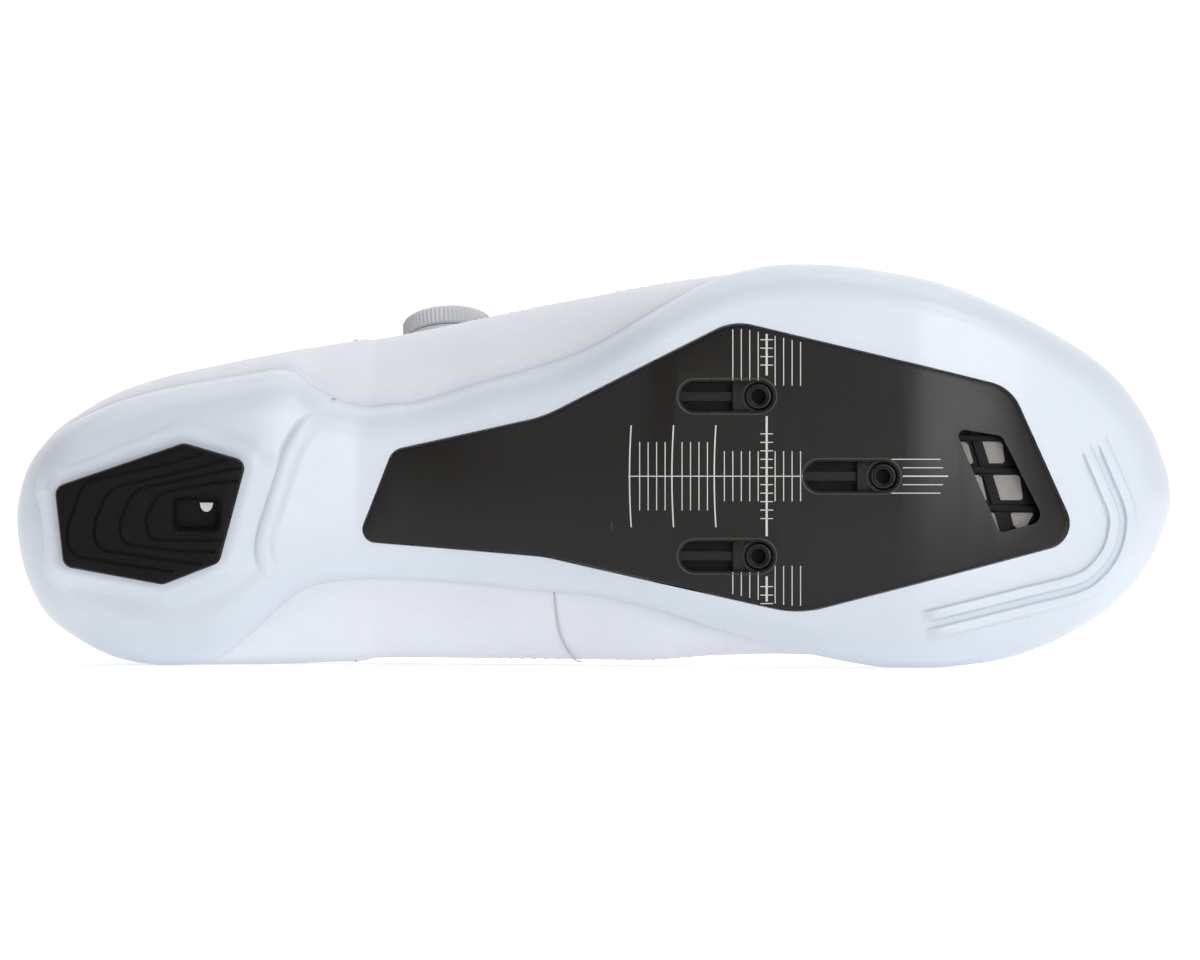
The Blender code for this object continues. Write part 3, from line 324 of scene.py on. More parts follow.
class Section:
    """One section plane of the shoe, from its middle line out to its outline."""

    def __init__(self, outer, sole):
        self.outer = outer
        self.x = outer.x
        self.along = outer.x / sizes().length
        centre = min(max(self.along, HEEL_CENTRE), TOE_CENTRE)
        self.centre = Vector((centre * sizes().length, middle(centre)))
        self.reach = (outer - self.centre).length
        self.outward = (outer - self.centre) / self.reach
        self.sole_reach = (sole - self.centre).length
        self.lower = self.sole_reach - sizes().cup_flare - sizes().lip_wall - sizes().shell_gap
        self.at_lip = min(self.sole_reach, self.reach) - sizes().lip_wall / 2

    def point(self, distance, height):
        """Point at a distance from the middle line, at a height."""
        flat = self.centre + self.outward * distance
        return Vector((flat.x, flat.y, height))

    def over(self, distance, level, lift=0.0):
        """Point at a distance from the middle line, lifted over a level that changes along the shoe."""
        flat = self.centre + self.outward * distance
        return Vector((flat.x, flat.y, level(flat.x) + lift))

    def end_angle(self):
        """Angle of the wall's arc at which the collar or the throat cuts it."""
        low = widest(self.x)
        high = ridge(self.centre.x)
        collar = curve_value(COLLAR, 1, self.along) * sizes().collar_height
        share = min(max((collar - low) / (high - low), 0.0), 1.0)
        by_collar = math.asin(share ** (BULGE / 2))
        half = curve_value(THROAT, 1, self.along) * sizes().throat_width / 2
        if self.along > THROAT[-1][0]:
            half = 0.0
        by_throat = math.acos(min(half / self.reach, 1.0) ** (BULGE / 2))
        return min(by_collar, by_throat) if self.along < COLLAR[-1][0] else by_throat

    def wall_point(self, angle, inset=0.0):
        """Point of the upper's arc over the foot, set inside its outer face by inset."""
        low = widest(self.x)
        high = ridge(self.centre.x) - inset
        out = max(math.cos(angle), 0.0) ** (2 / BULGE) * (self.reach - inset)
        up = max(math.sin(angle), 0.0) ** (2 / BULGE) * (high - low)
        return self.point(out, low + up)

    def lower_point(self, share, inset=0.0):
        """Point of the upper's lower bulge, from the sole's lip up to its widest point."""
        angle = math.pi / 2 * share
        out = self.at_lip + (self.reach - self.at_lip) * math.sin(angle)
        up = lip(self.x) + (widest(self.x) - lip(self.x)) * (1 - math.cos(angle))
        return self.point(out - inset, up)


def side_section(along, side_name):
    """Section at a share of the length, on one side."""
    x = along * sizes().length
    width = width_at(along)
    outer = Vector((x, curve_value(OUTLINE, OUTLINE_COLUMNS.index(side_name), along) * width))
    sole = Vector((x, curve_value(OUTLINE, OUTLINE_COLUMNS.index("sole_" + side_name), along) * width))
    return Section(outer, sole)


def through(points, t, i):
    """Point on a smooth closed curve through points, between point i and the next."""
    count = len(points)
    a, b, c, d = (points[(i + k) % count] for k in (-1, 0, 1, 2))
    square = a * 2 - b * 5 + c * 4 - d
    cube = b * 3 - a - c * 3 + d
    return (b * 2 + (c - a) * t + square * t ** 2 + cube * t ** 3) / 2


def ring():
    """Sections all round the shoe, from the heel along the lateral side to the toe and back."""
    steps = sizes().column_steps
    outer = []
    sole = []
    for sign_name, rows in (("lateral", OUTLINE), ("medial", OUTLINE[-2:0:-1])):
        for row in rows:
            along = row[0]
            width = width_at(along)
            x = along * sizes().length
            outer.append(Vector((x, row[OUTLINE_COLUMNS.index(sign_name)] * width)))
            sole.append(Vector((x, row[OUTLINE_COLUMNS.index("sole_" + sign_name)] * width)))
    sections = []
    for i in range(len(outer)):
        for k in range(steps):
            t = k / steps
            sections.append(Section(through(outer, t, i), through(sole, t, i)))
    return sections


# Places of the record's two faces: along and across, the seat's across from the middle slot
SEAT_PLACE = (0.1955, -0.02)
HEEL_PLACE = (0.03, 0.003)


def pad_level():
    """Height of the walking pad's outer face."""
    s = sizes()
    return s.heel_lift - s.pedestal_height - s.clearance - s.pad_thickness


def shoe_to_row():
    """Matrix from the shoe's own frame to the frame that it lies in, from two faces of the record."""
    faces = {mount["name"]: mount for mount in frame["record"]["mounts"]}
    seat_x, seat_across = SEAT_PLACE
    seat = Vector((seat_x, sizes().slot_axis + seat_across, plate_face(seat_x)))
    heel = Vector((*HEEL_PLACE, pad_level()))
    down = Vector(faces["walking_pad"]["axis"]).normalized()

    def axes(ahead, up):
        across = up.cross(ahead).normalized()
        return Matrix((across.cross(up), across, up)).transposed()

    here = axes(seat - heel, Vector((0.0, 0.0, 1.0)))
    there = axes(Vector(faces["cleat_seat"]["pos_m"]) - Vector(faces["walking_pad"]["pos_m"]), -down)
    turn = there @ here.inverted()
    shift = Vector(faces["walking_pad"]["pos_m"]) - turn @ heel
    return Matrix.Translation(shift) @ turn.to_4x4()


# Lengths in metres under which two points count as one, and two heights as the same
MERGE = 0.00001
TINY = 1e-7


def sheet(columns, closed):
    """Grid mesh moved to columns of points, the last joined to the first where it is closed."""
    if closed:
        columns = columns + [columns[0]]
    rows = len(columns[0])
    shape = bmesh.new()
    bmesh.ops.create_grid(shape, x_segments=rows - 1, y_segments=len(columns) - 1, size=1.0)
    shape.verts.ensure_lookup_table()
    for i, column in enumerate(columns):
        for j, point in enumerate(column):
            shape.verts[i * rows + j].co = point
    bmesh.ops.remove_doubles(shape, verts=shape.verts, dist=MERGE)
    bmesh.ops.dissolve_degenerate(shape, edges=shape.edges, dist=MERGE)
    bmesh.ops.recalc_face_normals(shape, faces=shape.faces)
    return shape


def make_piece(name, shape, finishes, node=None, body=SHOE, smooth_angle=40):
    """Object from a bmesh in the shoe's frame, laid down with the shoe and riding on its body."""
    bmesh.ops.transform(shape, matrix=shoe_to_row(), verts=shape.verts)
    mesh = bpy.data.meshes.new(name)
    shape.to_mesh(mesh)
    shape.free()
    for finish in finishes:
        mesh.materials.append(material(finish))
    mesh.shade_smooth()
    mesh.set_sharp_from_angle(angle=math.radians(smooth_angle))
    piece = linked(name, mesh)
    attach(piece, body)
    if node:
        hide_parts(node)
    return piece


def rounded(corners, arc_steps=10):
    """Outline through corners of along, across and radius, with each corner an arc."""
    points = [Vector((along * sizes().length, across * sizes().ball_width)) for along, across, _ in corners]
    outline = []
    for i, (_, _, radius) in enumerate(corners):
        here = points[i]
        before = (points[i - 1] - here).normalized()
        after = (points[(i + 1) % len(points)] - here).normalized()
        half = before.angle(after) / 2
        bisector = (before + after).normalized()
        centre = here + bisector * (radius / math.sin(half))
        start = here + before * (radius / math.tan(half)) - centre
        turn = start.angle_signed(here + after * (radius / math.tan(half)) - centre)
        for k in range(arc_steps + 1):
            arm = start.copy()
            arm.rotate(Matrix.Rotation(-turn * k / arc_steps, 2))
            outline.append(centre + arm)
    return outline


def slot_outline(front, across, margin=0.0, arc_steps=16):
    """Outline of a cleat slot with round ends, from its front end's place."""
    s = sizes()
    radius = s.slot_width / 2 + margin
    ahead = Vector((front - s.slot_width / 2, across))
    behind = Vector((front - s.slot_length + s.slot_width / 2, across))
    outline = []
    for centre, first in ((ahead, -math.pi / 2), (behind, math.pi / 2)):
        for k in range(arc_steps + 1):
            angle = first + math.pi * k / arc_steps
            outline.append(centre + Vector((math.cos(angle), math.sin(angle))) * radius)
    return outline


def slot_places():
    """Front end and sideways place of each cleat slot, by its nut's name."""
    s = sizes()
    return {
        "cleat_nut_lateral": (s.rear_slot_end, s.slot_axis - s.nut_spacing / 2),
        "cleat_nut_medial": (s.rear_slot_end, s.slot_axis + s.nut_spacing / 2),
        "cleat_nut_front": (s.rear_slot_end + s.front_nut_ahead, s.slot_axis),
    }


def grown(outline, margin):
    """Outline moved out by a margin, or in where the margin is below nought."""
    area = sum(a.cross(b) for a, b in zip(outline, outline[1:] + outline[:1]))
    turn = math.copysign(1.0, area)
    moved = []
    for i, here in enumerate(outline):
        before = (here - outline[i - 1]).normalized()
        after = (outline[(i + 1) % len(outline)] - here).normalized()
        out = Vector((before.y + after.y, -before.x - after.x)).normalized() * turn
        cosine = max(abs(out.dot(Vector((after.y, -after.x)))), 0.3)
        moved.append(here + out * (margin / cosine))
    return moved


def smooth_path(path, steps=6):
    """Smooth open curve through points of along and across shares."""
    points = [Vector((along * sizes().length, across * sizes().ball_width)) for along, across in path]
    ends = [points[0] * 2 - points[1]] + points + [points[-1] * 2 - points[-2]]
    fine = []
    for i in range(1, len(ends) - 2):
        fine += [through(ends, k / steps, i) for k in range(steps)]
    return fine + [points[-1]]


def new_group(name, inputs, outputs):
    """Empty node group with its sockets, and its input and output nodes."""
    group = bpy.data.node_groups.new(name, "ShaderNodeTree")
    for socket, kind in inputs:
        group.interface.new_socket(socket, in_out="INPUT", socket_type=kind)
    for socket, kind in outputs:
        group.interface.new_socket(socket, in_out="OUTPUT", socket_type=kind)
    return group, group.nodes.new("NodeGroupInput"), group.nodes.new("NodeGroupOutput")


def noise(group, scale, detail=3.0):
    """Noise in object space at a scale in lumps per metre."""
    node = group.nodes.new("ShaderNodeTexNoise")
    node.inputs["Scale"].default_value = scale
    node.inputs["Detail"].default_value = detail
    place = group.nodes.get("Place") or group.nodes.new("ShaderNodeTexCoord")
    place.name = "Place"
    group.links.new(place.outputs["Object"], node.inputs["Vector"])
    return node


def remap(group, value, low, high, new_low, new_high):
    """Value moved from one range to another."""
    node = group.nodes.new("ShaderNodeMapRange")
    for name, number in (("From Min", low), ("From Max", high), ("To Min", new_low), ("To Max", new_high)):
        node.inputs[name].default_value = number
    group.links.new(value, node.inputs["Value"])
    return node.outputs["Result"]


def maths(group, operation, first, second):
    """Math node on two values, each a socket or a number."""
    node = group.nodes.new("ShaderNodeMath")
    node.operation = operation
    for socket, value in zip(node.inputs, (first, second)):
        if isinstance(value, (int, float)):
            socket.default_value = value
        else:
            group.links.new(value, socket)
    return node.outputs["Value"]


def tone_group(name):
    """Group that shades a colour darker and lighter in soft patches, with faint rubbed marks."""
    group, start, end = new_group(name, (("Colour", "NodeSocketColor"), ("Patches", "NodeSocketFloat"),
                                         ("Rubbing", "NodeSocketFloat")),
                                  (("Colour", "NodeSocketColor"), ("Mask", "NodeSocketFloat")))
    patches = remap(group, noise(group, 45.0).outputs["Fac"], 0.3, 0.7, 0.0, 1.0)
    rubbed = remap(group, noise(group, 420.0, 6.0).outputs["Fac"], 0.62, 0.72, 0.0, 1.0)
    dark = maths(group, "MULTIPLY", patches, start.outputs["Patches"])
    marks = maths(group, "MULTIPLY", rubbed, start.outputs["Rubbing"])
    mask = maths(group, "ADD", dark, marks)
    keep = maths(group, "SUBTRACT", 1.0, mask)
    shade = group.nodes.new("ShaderNodeVectorMath")
    shade.operation = "SCALE"
    group.links.new(start.outputs["Colour"], shade.inputs[0])
    group.links.new(keep, shade.inputs["Scale"])
    group.links.new(shade.outputs["Vector"], end.inputs["Colour"])
    group.links.new(rubbed, end.inputs["Mask"])
    return group


def grain_group(name):
    """Group that gives the normal of a fine moulded or leather-like grain, and an uneven roughness."""
    group, start, end = new_group(name, (("Scale", "NodeSocketFloat"), ("Depth", "NodeSocketFloat"),
                                         ("Roughness", "NodeSocketFloat"), ("Spread", "NodeSocketFloat")),
                                  (("Normal", "NodeSocketVector"), ("Roughness", "NodeSocketFloat")))
    cells = group.nodes.new("ShaderNodeTexVoronoi")
    fine = noise(group, 1.0, 2.0)
    for node in (cells, fine):
        group.links.new(start.outputs["Scale"], node.inputs["Scale"])
    group.links.new(group.nodes["Place"].outputs["Object"], cells.inputs["Vector"])
    height = maths(group, "ADD", cells.outputs["Distance"], fine.outputs["Fac"])
    bump = group.nodes.new("ShaderNodeBump")
    group.links.new(height, bump.inputs["Height"])
    group.links.new(start.outputs["Depth"], bump.inputs["Distance"])
    group.links.new(bump.outputs["Normal"], end.inputs["Normal"])
    uneven = remap(group, noise(group, 160.0, 5.0).outputs["Fac"], 0.3, 0.7, -1.0, 1.0)
    spread = maths(group, "MULTIPLY", uneven, start.outputs["Spread"])
    rough = maths(group, "ADD", start.outputs["Roughness"], spread)
    group.links.new(rough, end.inputs["Roughness"])
    return group


def weave_group(name):
    """Group that gives the normal of a knitted mesh with small open cells, and a mask of the cells."""
    group, start, end = new_group(name, (("Scale", "NodeSocketFloat"), ("Depth", "NodeSocketFloat")),
                                  (("Normal", "NodeSocketVector"), ("Open", "NodeSocketFloat")))
    place = group.nodes.new("ShaderNodeTexCoord")
    cells = group.nodes.new("ShaderNodeTexVoronoi")
    group.links.new(place.outputs["Object"], cells.inputs["Vector"])
    group.links.new(start.outputs["Scale"], cells.inputs["Scale"])
    opened = remap(group, cells.outputs["Distance"], 0.5, 0.15, 0.0, 1.0)
    bump = group.nodes.new("ShaderNodeBump")
    bump.invert = True
    group.links.new(opened, bump.inputs["Height"])
    group.links.new(start.outputs["Depth"], bump.inputs["Distance"])
    group.links.new(bump.outputs["Normal"], end.inputs["Normal"])
    group.links.new(opened, end.inputs["Open"])
    return group


def shared(tree, name, build, **values):
    """Node of a shared group in a material, the group built at its first use, with its inputs set."""
    node = tree.nodes.new("ShaderNodeGroup")
    node.node_tree = bpy.data.node_groups.get(name) or build(name)
    for socket, value in values.items():
        node.inputs[socket].default_value = value
    return node


# Finishes: name of the colour, roughness, and what differs from the usual values of finished()
FINISHES = {
    "sole_white": ("sole", 0.42, {"grain": (2600.0, 0.000012), "coat": 0.15}),
    "upper_white": ("upper", 0.5, {"grain": (1500.0, 0.00006)}),
    "lining_cloth": ("lining", 0.85, {"weave": (1100.0, 0.0003), "patches": 0.06}),
    "plate_black": ("plate", 0.31, {"grain": (5200.0, 0.000006), "spread": 0.02, "patches": 0.06,
                                    "rubbing": 0.0, "gloss": 0.33}),
    # Lighter than the plate: painted highlight on the slot rims, and the colour of the small real scuff
    "plate_highlight_and_scuff": ("rim", 0.3, {"grain": (5200.0, 0.000012), "patches": 0.1}),
    "scale_marks": ("marks", 0.5, {"grain": (5000.0, 0.000008), "patches": 0.12, "rubbing": 0.1}),
    "pad_rubber": ("rubber", 0.55, {"grain": (2400.0, 0.00003), "spread": 0.08, "patches": 0.15,
                                    "gloss": 0.14}),
    "tray_black": ("moulded", 0.5, {"grain": (3000.0, 0.00002), "patches": 0.1, "gloss": 0.15}),
    "window_cloth": ("window", 0.85, {"grain": (1800.0, 0.00008), "patches": 0.25}),
    "nut_steel": ("steel", 0.34, {"grain": (4200.0, 0.00003), "spread": 0.1, "patches": 0.15,
                                  "metallic": 0.6}),
    "footbed_mesh": ("footbed", 0.8, {"weave": (900.0, 0.0004), "patches": 0.08}),
    "tongue_cloth": ("tongue", 0.75, {"weave": (1000.0, 0.0003), "patches": 0.05}),
    "seam_thread": ("thread", 0.6, {"grain": (3000.0, 0.00004), "patches": 0.05}),
    # Painted shade of the pinholes, on flat discs over the upper
    "pinhole_shade": ("pinhole", 0.9, {"patches": 0.1, "gloss": 0.1}),
    "trim_grey": ("trim", 0.4, {"grain": (3200.0, 0.00002), "patches": 0.05}),
    "lace_coat": ("lace", 0.35, {"grain": (2500.0, 0.00003), "patches": 0.05, "coat": 0.3}),
    "floor_paper": ("paper", 0.7, {"grain": (900.0, 0.00001), "patches": 0.0, "rubbing": 0.0}),
}


def material(name):
    """Material of a finish, made at its first use."""
    if name not in bpy.data.materials:
        colour, roughness, more = FINISHES[name]
        finished(name, getattr(colours(), colour), roughness, **more)
    return bpy.data.materials[name]


def finished(name, colour, roughness, grain=(3500.0, 0.00002), spread=0.05, patches=0.03, rubbing=0.02,
             metallic=0.0, coat=0.0, gloss=0.5, weave=None):
    """Makes a material from the shared groups: its tone, its grain or weave, its gloss."""
    made = bpy.data.materials.new(name)
    made.use_nodes = True
    tree = made.node_tree
    shader = tree.nodes["Principled BSDF"]
    tone = shared(tree, "Soft tone", tone_group, Colour=(*colour, 1.0), Patches=patches, Rubbing=rubbing)
    tree.links.new(tone.outputs["Colour"], shader.inputs["Base Color"])
    surface = shared(tree, "Fine grain", grain_group, Scale=grain[0], Depth=grain[1], Roughness=roughness,
                     Spread=spread)
    tree.links.new(surface.outputs["Roughness"], shader.inputs["Roughness"])
    normal = surface.outputs["Normal"]
    if weave:
        normal = shared(tree, "Mesh weave", weave_group, Scale=weave[0], Depth=weave[1]).outputs["Normal"]
    tree.links.new(normal, shader.inputs["Normal"])
    for socket, value in (("Metallic", metallic), ("Coat Weight", coat), ("Specular IOR Level", gloss)):
        shader.inputs[socket].default_value = value


def temporary(shape):
    """Object that holds a shape while others are cut out of it."""
    mesh = bpy.data.meshes.new("tool")
    shape.to_mesh(mesh)
    shape.free()
    return linked("tool", mesh)


def baked(thing):
    """Shape of an object with its modifiers, and the object removed."""
    mesh = bpy.data.meshes.new_from_object(thing.evaluated_get(bpy.context.evaluated_depsgraph_get()))
    shape = bmesh.new()
    shape.from_mesh(mesh)
    bpy.data.objects.remove(thing)
    bpy.data.meshes.remove(mesh)
    return shape


def carve(shape, tools):
    """Shape with the tools cut out of it."""
    target = temporary(shape)
    cutters = [temporary(tool) for tool in tools]
    for cutter in cutters:
        modifier = target.modifiers.new("Cut", "BOOLEAN")
        modifier.operation = "DIFFERENCE"
        modifier.solver = "EXACT"
        modifier.object = cutter
    result = baked(target)
    for cutter in cutters:
        bpy.data.objects.remove(cutter)
    return result


def softened(shape, edges, offset, segments):
    """Shape with edges of it rounded off."""
    bmesh.ops.bevel(shape, geom=edges, offset=offset, offset_type="OFFSET", affect="EDGES",
                    segments=segments, profile=0.5, material=-1)
    return shape


def block(size, lift=0.0):
    """Box of a size in x, y and z, its middle lifted."""
    shape = bmesh.new()
    bmesh.ops.create_cube(shape, size=1.0)
    bmesh.ops.scale(shape, vec=size, verts=shape.verts)
    bmesh.ops.translate(shape, vec=(0.0, 0.0, lift), verts=shape.verts)
    return shape


# Lengths of the slices that a piece is cut into before it is bent to the sole, for long and short pieces
SLICE = 0.004
LONG_SLICE = 0.1


def bent(shape, outlines, face, slice_length):
    """Shape cut into slices along the shoe and lifted to a face that changes along it."""
    start = min(point.x for outline in outlines for point in outline)
    end = max(point.x for outline in outlines for point in outline)
    cut = (math.floor(start / slice_length) + 1) * slice_length
    while cut < end:
        everything = shape.verts[:] + shape.edges[:] + shape.faces[:]
        bmesh.ops.bisect_plane(shape, geom=everything, plane_co=(cut, 0.0, 0.0), plane_no=(1.0, 0.0, 0.0))
        cut += slice_length
    for vertex in shape.verts:
        vertex.co.z += face(vertex.co.x)
    bmesh.ops.recalc_face_normals(shape, faces=shape.faces)
    return shape


def slab(outline, thickness, face, rim=0.0, rim_steps=4, slice_length=SLICE):
    """Closed slab from its outer face inwards, its outer rim rounded, bent to follow the sole."""
    shape = bmesh.new()
    base = shape.faces.new([shape.verts.new((point.x, point.y, 0.0)) for point in outline])
    raised = bmesh.ops.extrude_face_region(shape, geom=[base])
    top = [item for item in raised["geom"] if isinstance(item, bmesh.types.BMVert)]
    bmesh.ops.translate(shape, verts=top, vec=(0.0, 0.0, thickness))
    if rim:
        low = [edge for edge in shape.edges if all(abs(v.co.z) < TINY for v in edge.verts)]
        softened(shape, low, rim, rim_steps)
    return bent(shape, [outline], face, slice_length)


def stacked(rings, face):
    """Closed sheet through flat outlines of as many points, each at its own level over a face."""
    columns = []
    for points in zip(*(outline for outline, _ in rings)):
        columns.append([Vector((point.x, point.y, face(point.x) + level))
                        for point, (_, level) in zip(points, rings)])
    return sheet(columns, closed=True)


def loft(rings, face, slice_length=SLICE):
    """Closed form through flat outlines of as many points, each at a height that follows the sole."""
    shape = stacked(rings, lambda x: 0.0)
    bmesh.ops.holes_fill(shape, edges=[edge for edge in shape.edges if edge.is_boundary], sides=0)
    return bent(shape, [outline for outline, _ in rings], face, slice_length)


def merged(shapes):
    """One shape out of several."""
    whole = bmesh.new()
    for shape in shapes:
        mesh = bpy.data.meshes.new("merged")
        shape.to_mesh(mesh)
        shape.free()
        whole.from_mesh(mesh)
        bpy.data.meshes.remove(mesh)
    return whole


def face_of(shape, reach=1.0):
    """Height of a shape's lower face as a function of the place, up to a reach over the sole's flat."""
    tree = BVHTree.FromBMesh(shape)

    def height(point):
        hit = tree.ray_cast(Vector((point.x, point.y, -1.0)), Vector((0.0, 0.0, 1.0)))[0]
        return hit.z if hit and hit.z < underside(point.x) + reach else None

    return height


def eased(share):
    """Share from nought to one that starts and ends softly."""
    t = min(max(share, 0.0), 1.0)
    return t * t * (3 - 2 * t)


def bead(path, profile, face, fade):
    """Soft bead along a flat path that fades at its ends: its profile is rows of offset and height."""
    path = [here for here in path if face(here) is not None]
    lengths = [0.0]
    for a, b in zip(path, path[1:]):
        lengths.append(lengths[-1] + (b - a).length)
    columns = []
    for i, here in enumerate(path):
        ahead = (path[min(i + 1, len(path) - 1)] - path[max(i - 1, 0)]).normalized()
        across = Vector((ahead.y, -ahead.x))
        share = eased(min(lengths[i], lengths[-1] - lengths[i]) / fade)
        column = []
        level = face(here)
        for offset, height in profile:
            flat = here + across * offset
            found = face(flat)
            level = level if found is None else found
            column.append(Vector((flat.x, flat.y, level - height * share)))
        columns.append(column)
    return sheet(columns, closed=False)


# Rows of a raised line's profile: offset and height as shares of its half width and height
BEAD_SHAPE = ((-1.25, -0.03), (-1.0, 0.04), (-0.82, 0.25), (-0.62, 0.7), (-0.4, 0.93), (0.0, 1.0),
              (0.4, 0.93), (0.62, 0.7), (0.82, 0.25), (1.0, 0.04), (1.25, -0.03))
BAND_SHAPE = ((-1.12, -0.03), (-1.0, 0.12), (-0.88, 0.62), (-0.7, 0.94), (-0.4, 1.0), (0.4, 1.0),
              (0.7, 0.94), (0.88, 0.62), (1.0, 0.12), (1.12, -0.03))


def scaled(profile, half_width, height, shift=0.0):
    """Profile rows at a half width and height, moved sideways."""
    return [(offset * half_width + shift, up * height) for offset, up in profile]


# Turn of the sole's edge as shares of its round edge: along the whole shoe, and more at the heel
EDGE_TURN = 1.5
HEEL_TURN = 0.7


def sole_column(part):
    """Points of the sole from its middle line out, round its edge, over its lip and back inside."""
    s = sizes()
    edge = part.sole_reach - s.cup_flare
    turn = s.edge_round * (EDGE_TURN + HEEL_TURN * min(side("heel", part.x), 1.0))
    inner_rows = 12
    column = [part.over((edge - turn) * k / inner_rows, underside) for k in range(inner_rows + 1)]
    soft = s.lip_wall / 4
    top = lip(part.x)
    arc_rows = 12
    for k in range(1, arc_rows):
        angle = math.pi / 2 * k / arc_rows
        point = part.point(edge - turn + (turn + s.cup_flare) * math.sin(angle), 0.0)
        low = underside(min(max(point.x, 0.0), s.length))
        column.append(Vector((point.x, point.y, low + (top - soft - low) * (1 - math.cos(angle)))))
    lip_rows = 4
    for k in range(lip_rows + 1):
        angle = math.pi * k / lip_rows
        column.append(part.point(part.sole_reach - soft + soft * math.cos(angle),
                                 top - soft + soft * math.sin(angle)))
    ledge = min(part.at_lip, part.sole_reach - 2 * soft) - s.shell_gap
    column.append(part.point(ledge, top - soft - s.shell_gap))
    inner = edge - s.lip_wall
    column += [part.over(out, feather, -s.shell_gap)
               for out in (inner, inner - s.margin, (inner - s.margin) / 2, 0.0)]
    return column


# Side of the heel block: rows of distance out from the pad and drop from its top, in millimetres
PEDESTAL_SIDE = ((-0.5, 0.0), (0.0, 0.1), (0.8, 0.15), (1.5, 0.32), (2.2, 0.72), (2.9, 1.35), (3.6, 2.1),
                 (4.3, 2.75), (5.1, 3.2), (6.0, 3.45), (7.0, 3.58))
# How far in its flat top reaches, how much wider its front side is, its lowest share and each step back
PEDESTAL_TOP = 0.002
PEDESTAL_FRONT = 1.45
PEDESTAL_END = 1.02
STEP_BACK = 0.9
MILLIMETRE = 0.001


def pedestal_shape(face):
    """Raised block under the walking pad, with its lip and its soft side down to the sole's face."""
    s = sizes()
    pad = rounded(PAD)
    top = s.heel_lift - s.pedestal_height
    rings = [(grown(pad, offset * MILLIMETRE), drop * MILLIMETRE) for offset, drop in PEDESTAL_SIDE]
    columns = []
    for i, inner in enumerate(grown(pad, -PEDESTAL_TOP)):
        column = [Vector((inner.x, inner.y, top))]
        for outline, drop in rings:
            away = outline[i] - pad[i]
            away = Vector((away.x * (PEDESTAL_FRONT if away.x > 0 else 1.0), away.y))
            while face(pad[i] + away) is None:
                away = away * STEP_BACK
            point = pad[i] + away
            share = min(drop / s.pedestal_height, PEDESTAL_END)
            column.append(Vector((point.x, point.y, top + (face(point) - top) * share)))
        columns.append(column)
    return sheet(columns, closed=True)


def lifted(face, lift):
    """Face that changes along the shoe, moved by a lift."""
    return lambda x: face(x) + lift


# Pockets in the sole: how far the tools start outside the plate's face, their depths and the vent's margin
PLATE_START = -0.0027
PLATE_PAST = 0.003
VENT_START = -0.004
VENT_CUT = 0.03
VENT_MARGIN = 0.0019
TRAY_CUT = 0.0046
TRAY_RIM = 0.0025


def sole_holes():
    """Tools that cut the pockets for plate, tray and vent window out of the sole."""
    s = sizes()
    plate = grown(rounded(PLATE), s.clearance)
    return [
        slab(plate, s.plate_thickness + PLATE_PAST, lifted(plate_face, PLATE_START)),
        slab(grown(rounded(VENT), VENT_MARGIN), VENT_CUT, lifted(plate_face, VENT_START)),
        slab(grown(tray_outline(), s.clearance), TRAY_CUT, plate_back),
    ]


def tray_outline():
    """Outline of the tray round its three channels, wide at the rear pair and narrow at the front."""
    s = sizes()
    places = slot_places()
    half = s.carrier_width / 2 + 2 * s.clearance + TRAY_RIM
    ahead = s.carrier_length / 2 + 2 * s.clearance + TRAY_RIM
    rear = places["cleat_nut_lateral"][0] - s.slot_width / 2
    back = rear - ahead - (s.slot_length - s.slot_width)
    step = rear + ahead
    nose = places["cleat_nut_front"][0] - s.slot_width / 2 + ahead
    lateral = places["cleat_nut_lateral"][1] - half
    medial = places["cleat_nut_medial"][1] + half
    near, far = s.slot_axis - half, s.slot_axis + half
    corners = ((back, lateral), (step, lateral), (step, near), (nose, near), (nose, far), (step, far),
               (step, medial), (back, medial))
    return [Vector(corner) for corner in corners]


# Raised lines in metres: half width, height and length of the ends' fade, the ribs' first place and gap
RIDGE_LINE = (0.0027, 0.0014, 0.014)
RIB_LINE = (0.00145, 0.0014, 0.004)
FIRST_RIB = 0.0013
RIB_GAP = 0.0043


class ShoeSole(bpy.types.Operator):
    """White moulded sole with its lip, heel block, cross ridge and toe ribs"""
    bl_idname = "shoe.sole"
    bl_label = "Sole"

    def execute(self, context):
        body = carve(sheet([sole_column(part) for part in ring()], closed=True), sole_holes())
        flat = face_of(body, sizes().bead_reach)
        face = face_of(body)
        ridge_path = [here for here in smooth_path(HEEL_RIDGE) if flat(here) is not None]
        half, height, fade = RIDGE_LINE
        parts = [body, bead(ridge_path, scaled(BEAD_SHAPE, half, height), face, fade), pedestal_shape(flat)]
        half, height, fade = RIB_LINE
        for number in range(2):
            profile = scaled(BAND_SHAPE, half, height, FIRST_RIB + RIB_GAP * number)
            parts.append(bead(smooth_path(TOE_RIB), profile, face, fade))
        make_piece("sole_shell", merged(parts), ["sole_white"], node="sole", smooth_angle=32)
        return {"FINISHED"}


def upper_column(part):
    """Points of the upper from its turned-in margin up to the collar or throat."""
    column = [part.over(out, feather) for out in (part.lower - sizes().margin, part.lower)]
    column.append(part.point(part.at_lip, lip(part.x)))
    lower_rows = 6
    for k in range(1, lower_rows + 1):
        column.append(part.lower_point(k / lower_rows, upper_relief(part, 0.0)))
    end = part.end_angle()
    upper_rows = 30
    for k in range(1, upper_rows + 1):
        share = k / upper_rows
        column.append(part.wall_point(end * share, upper_relief(part, share)))
    return column


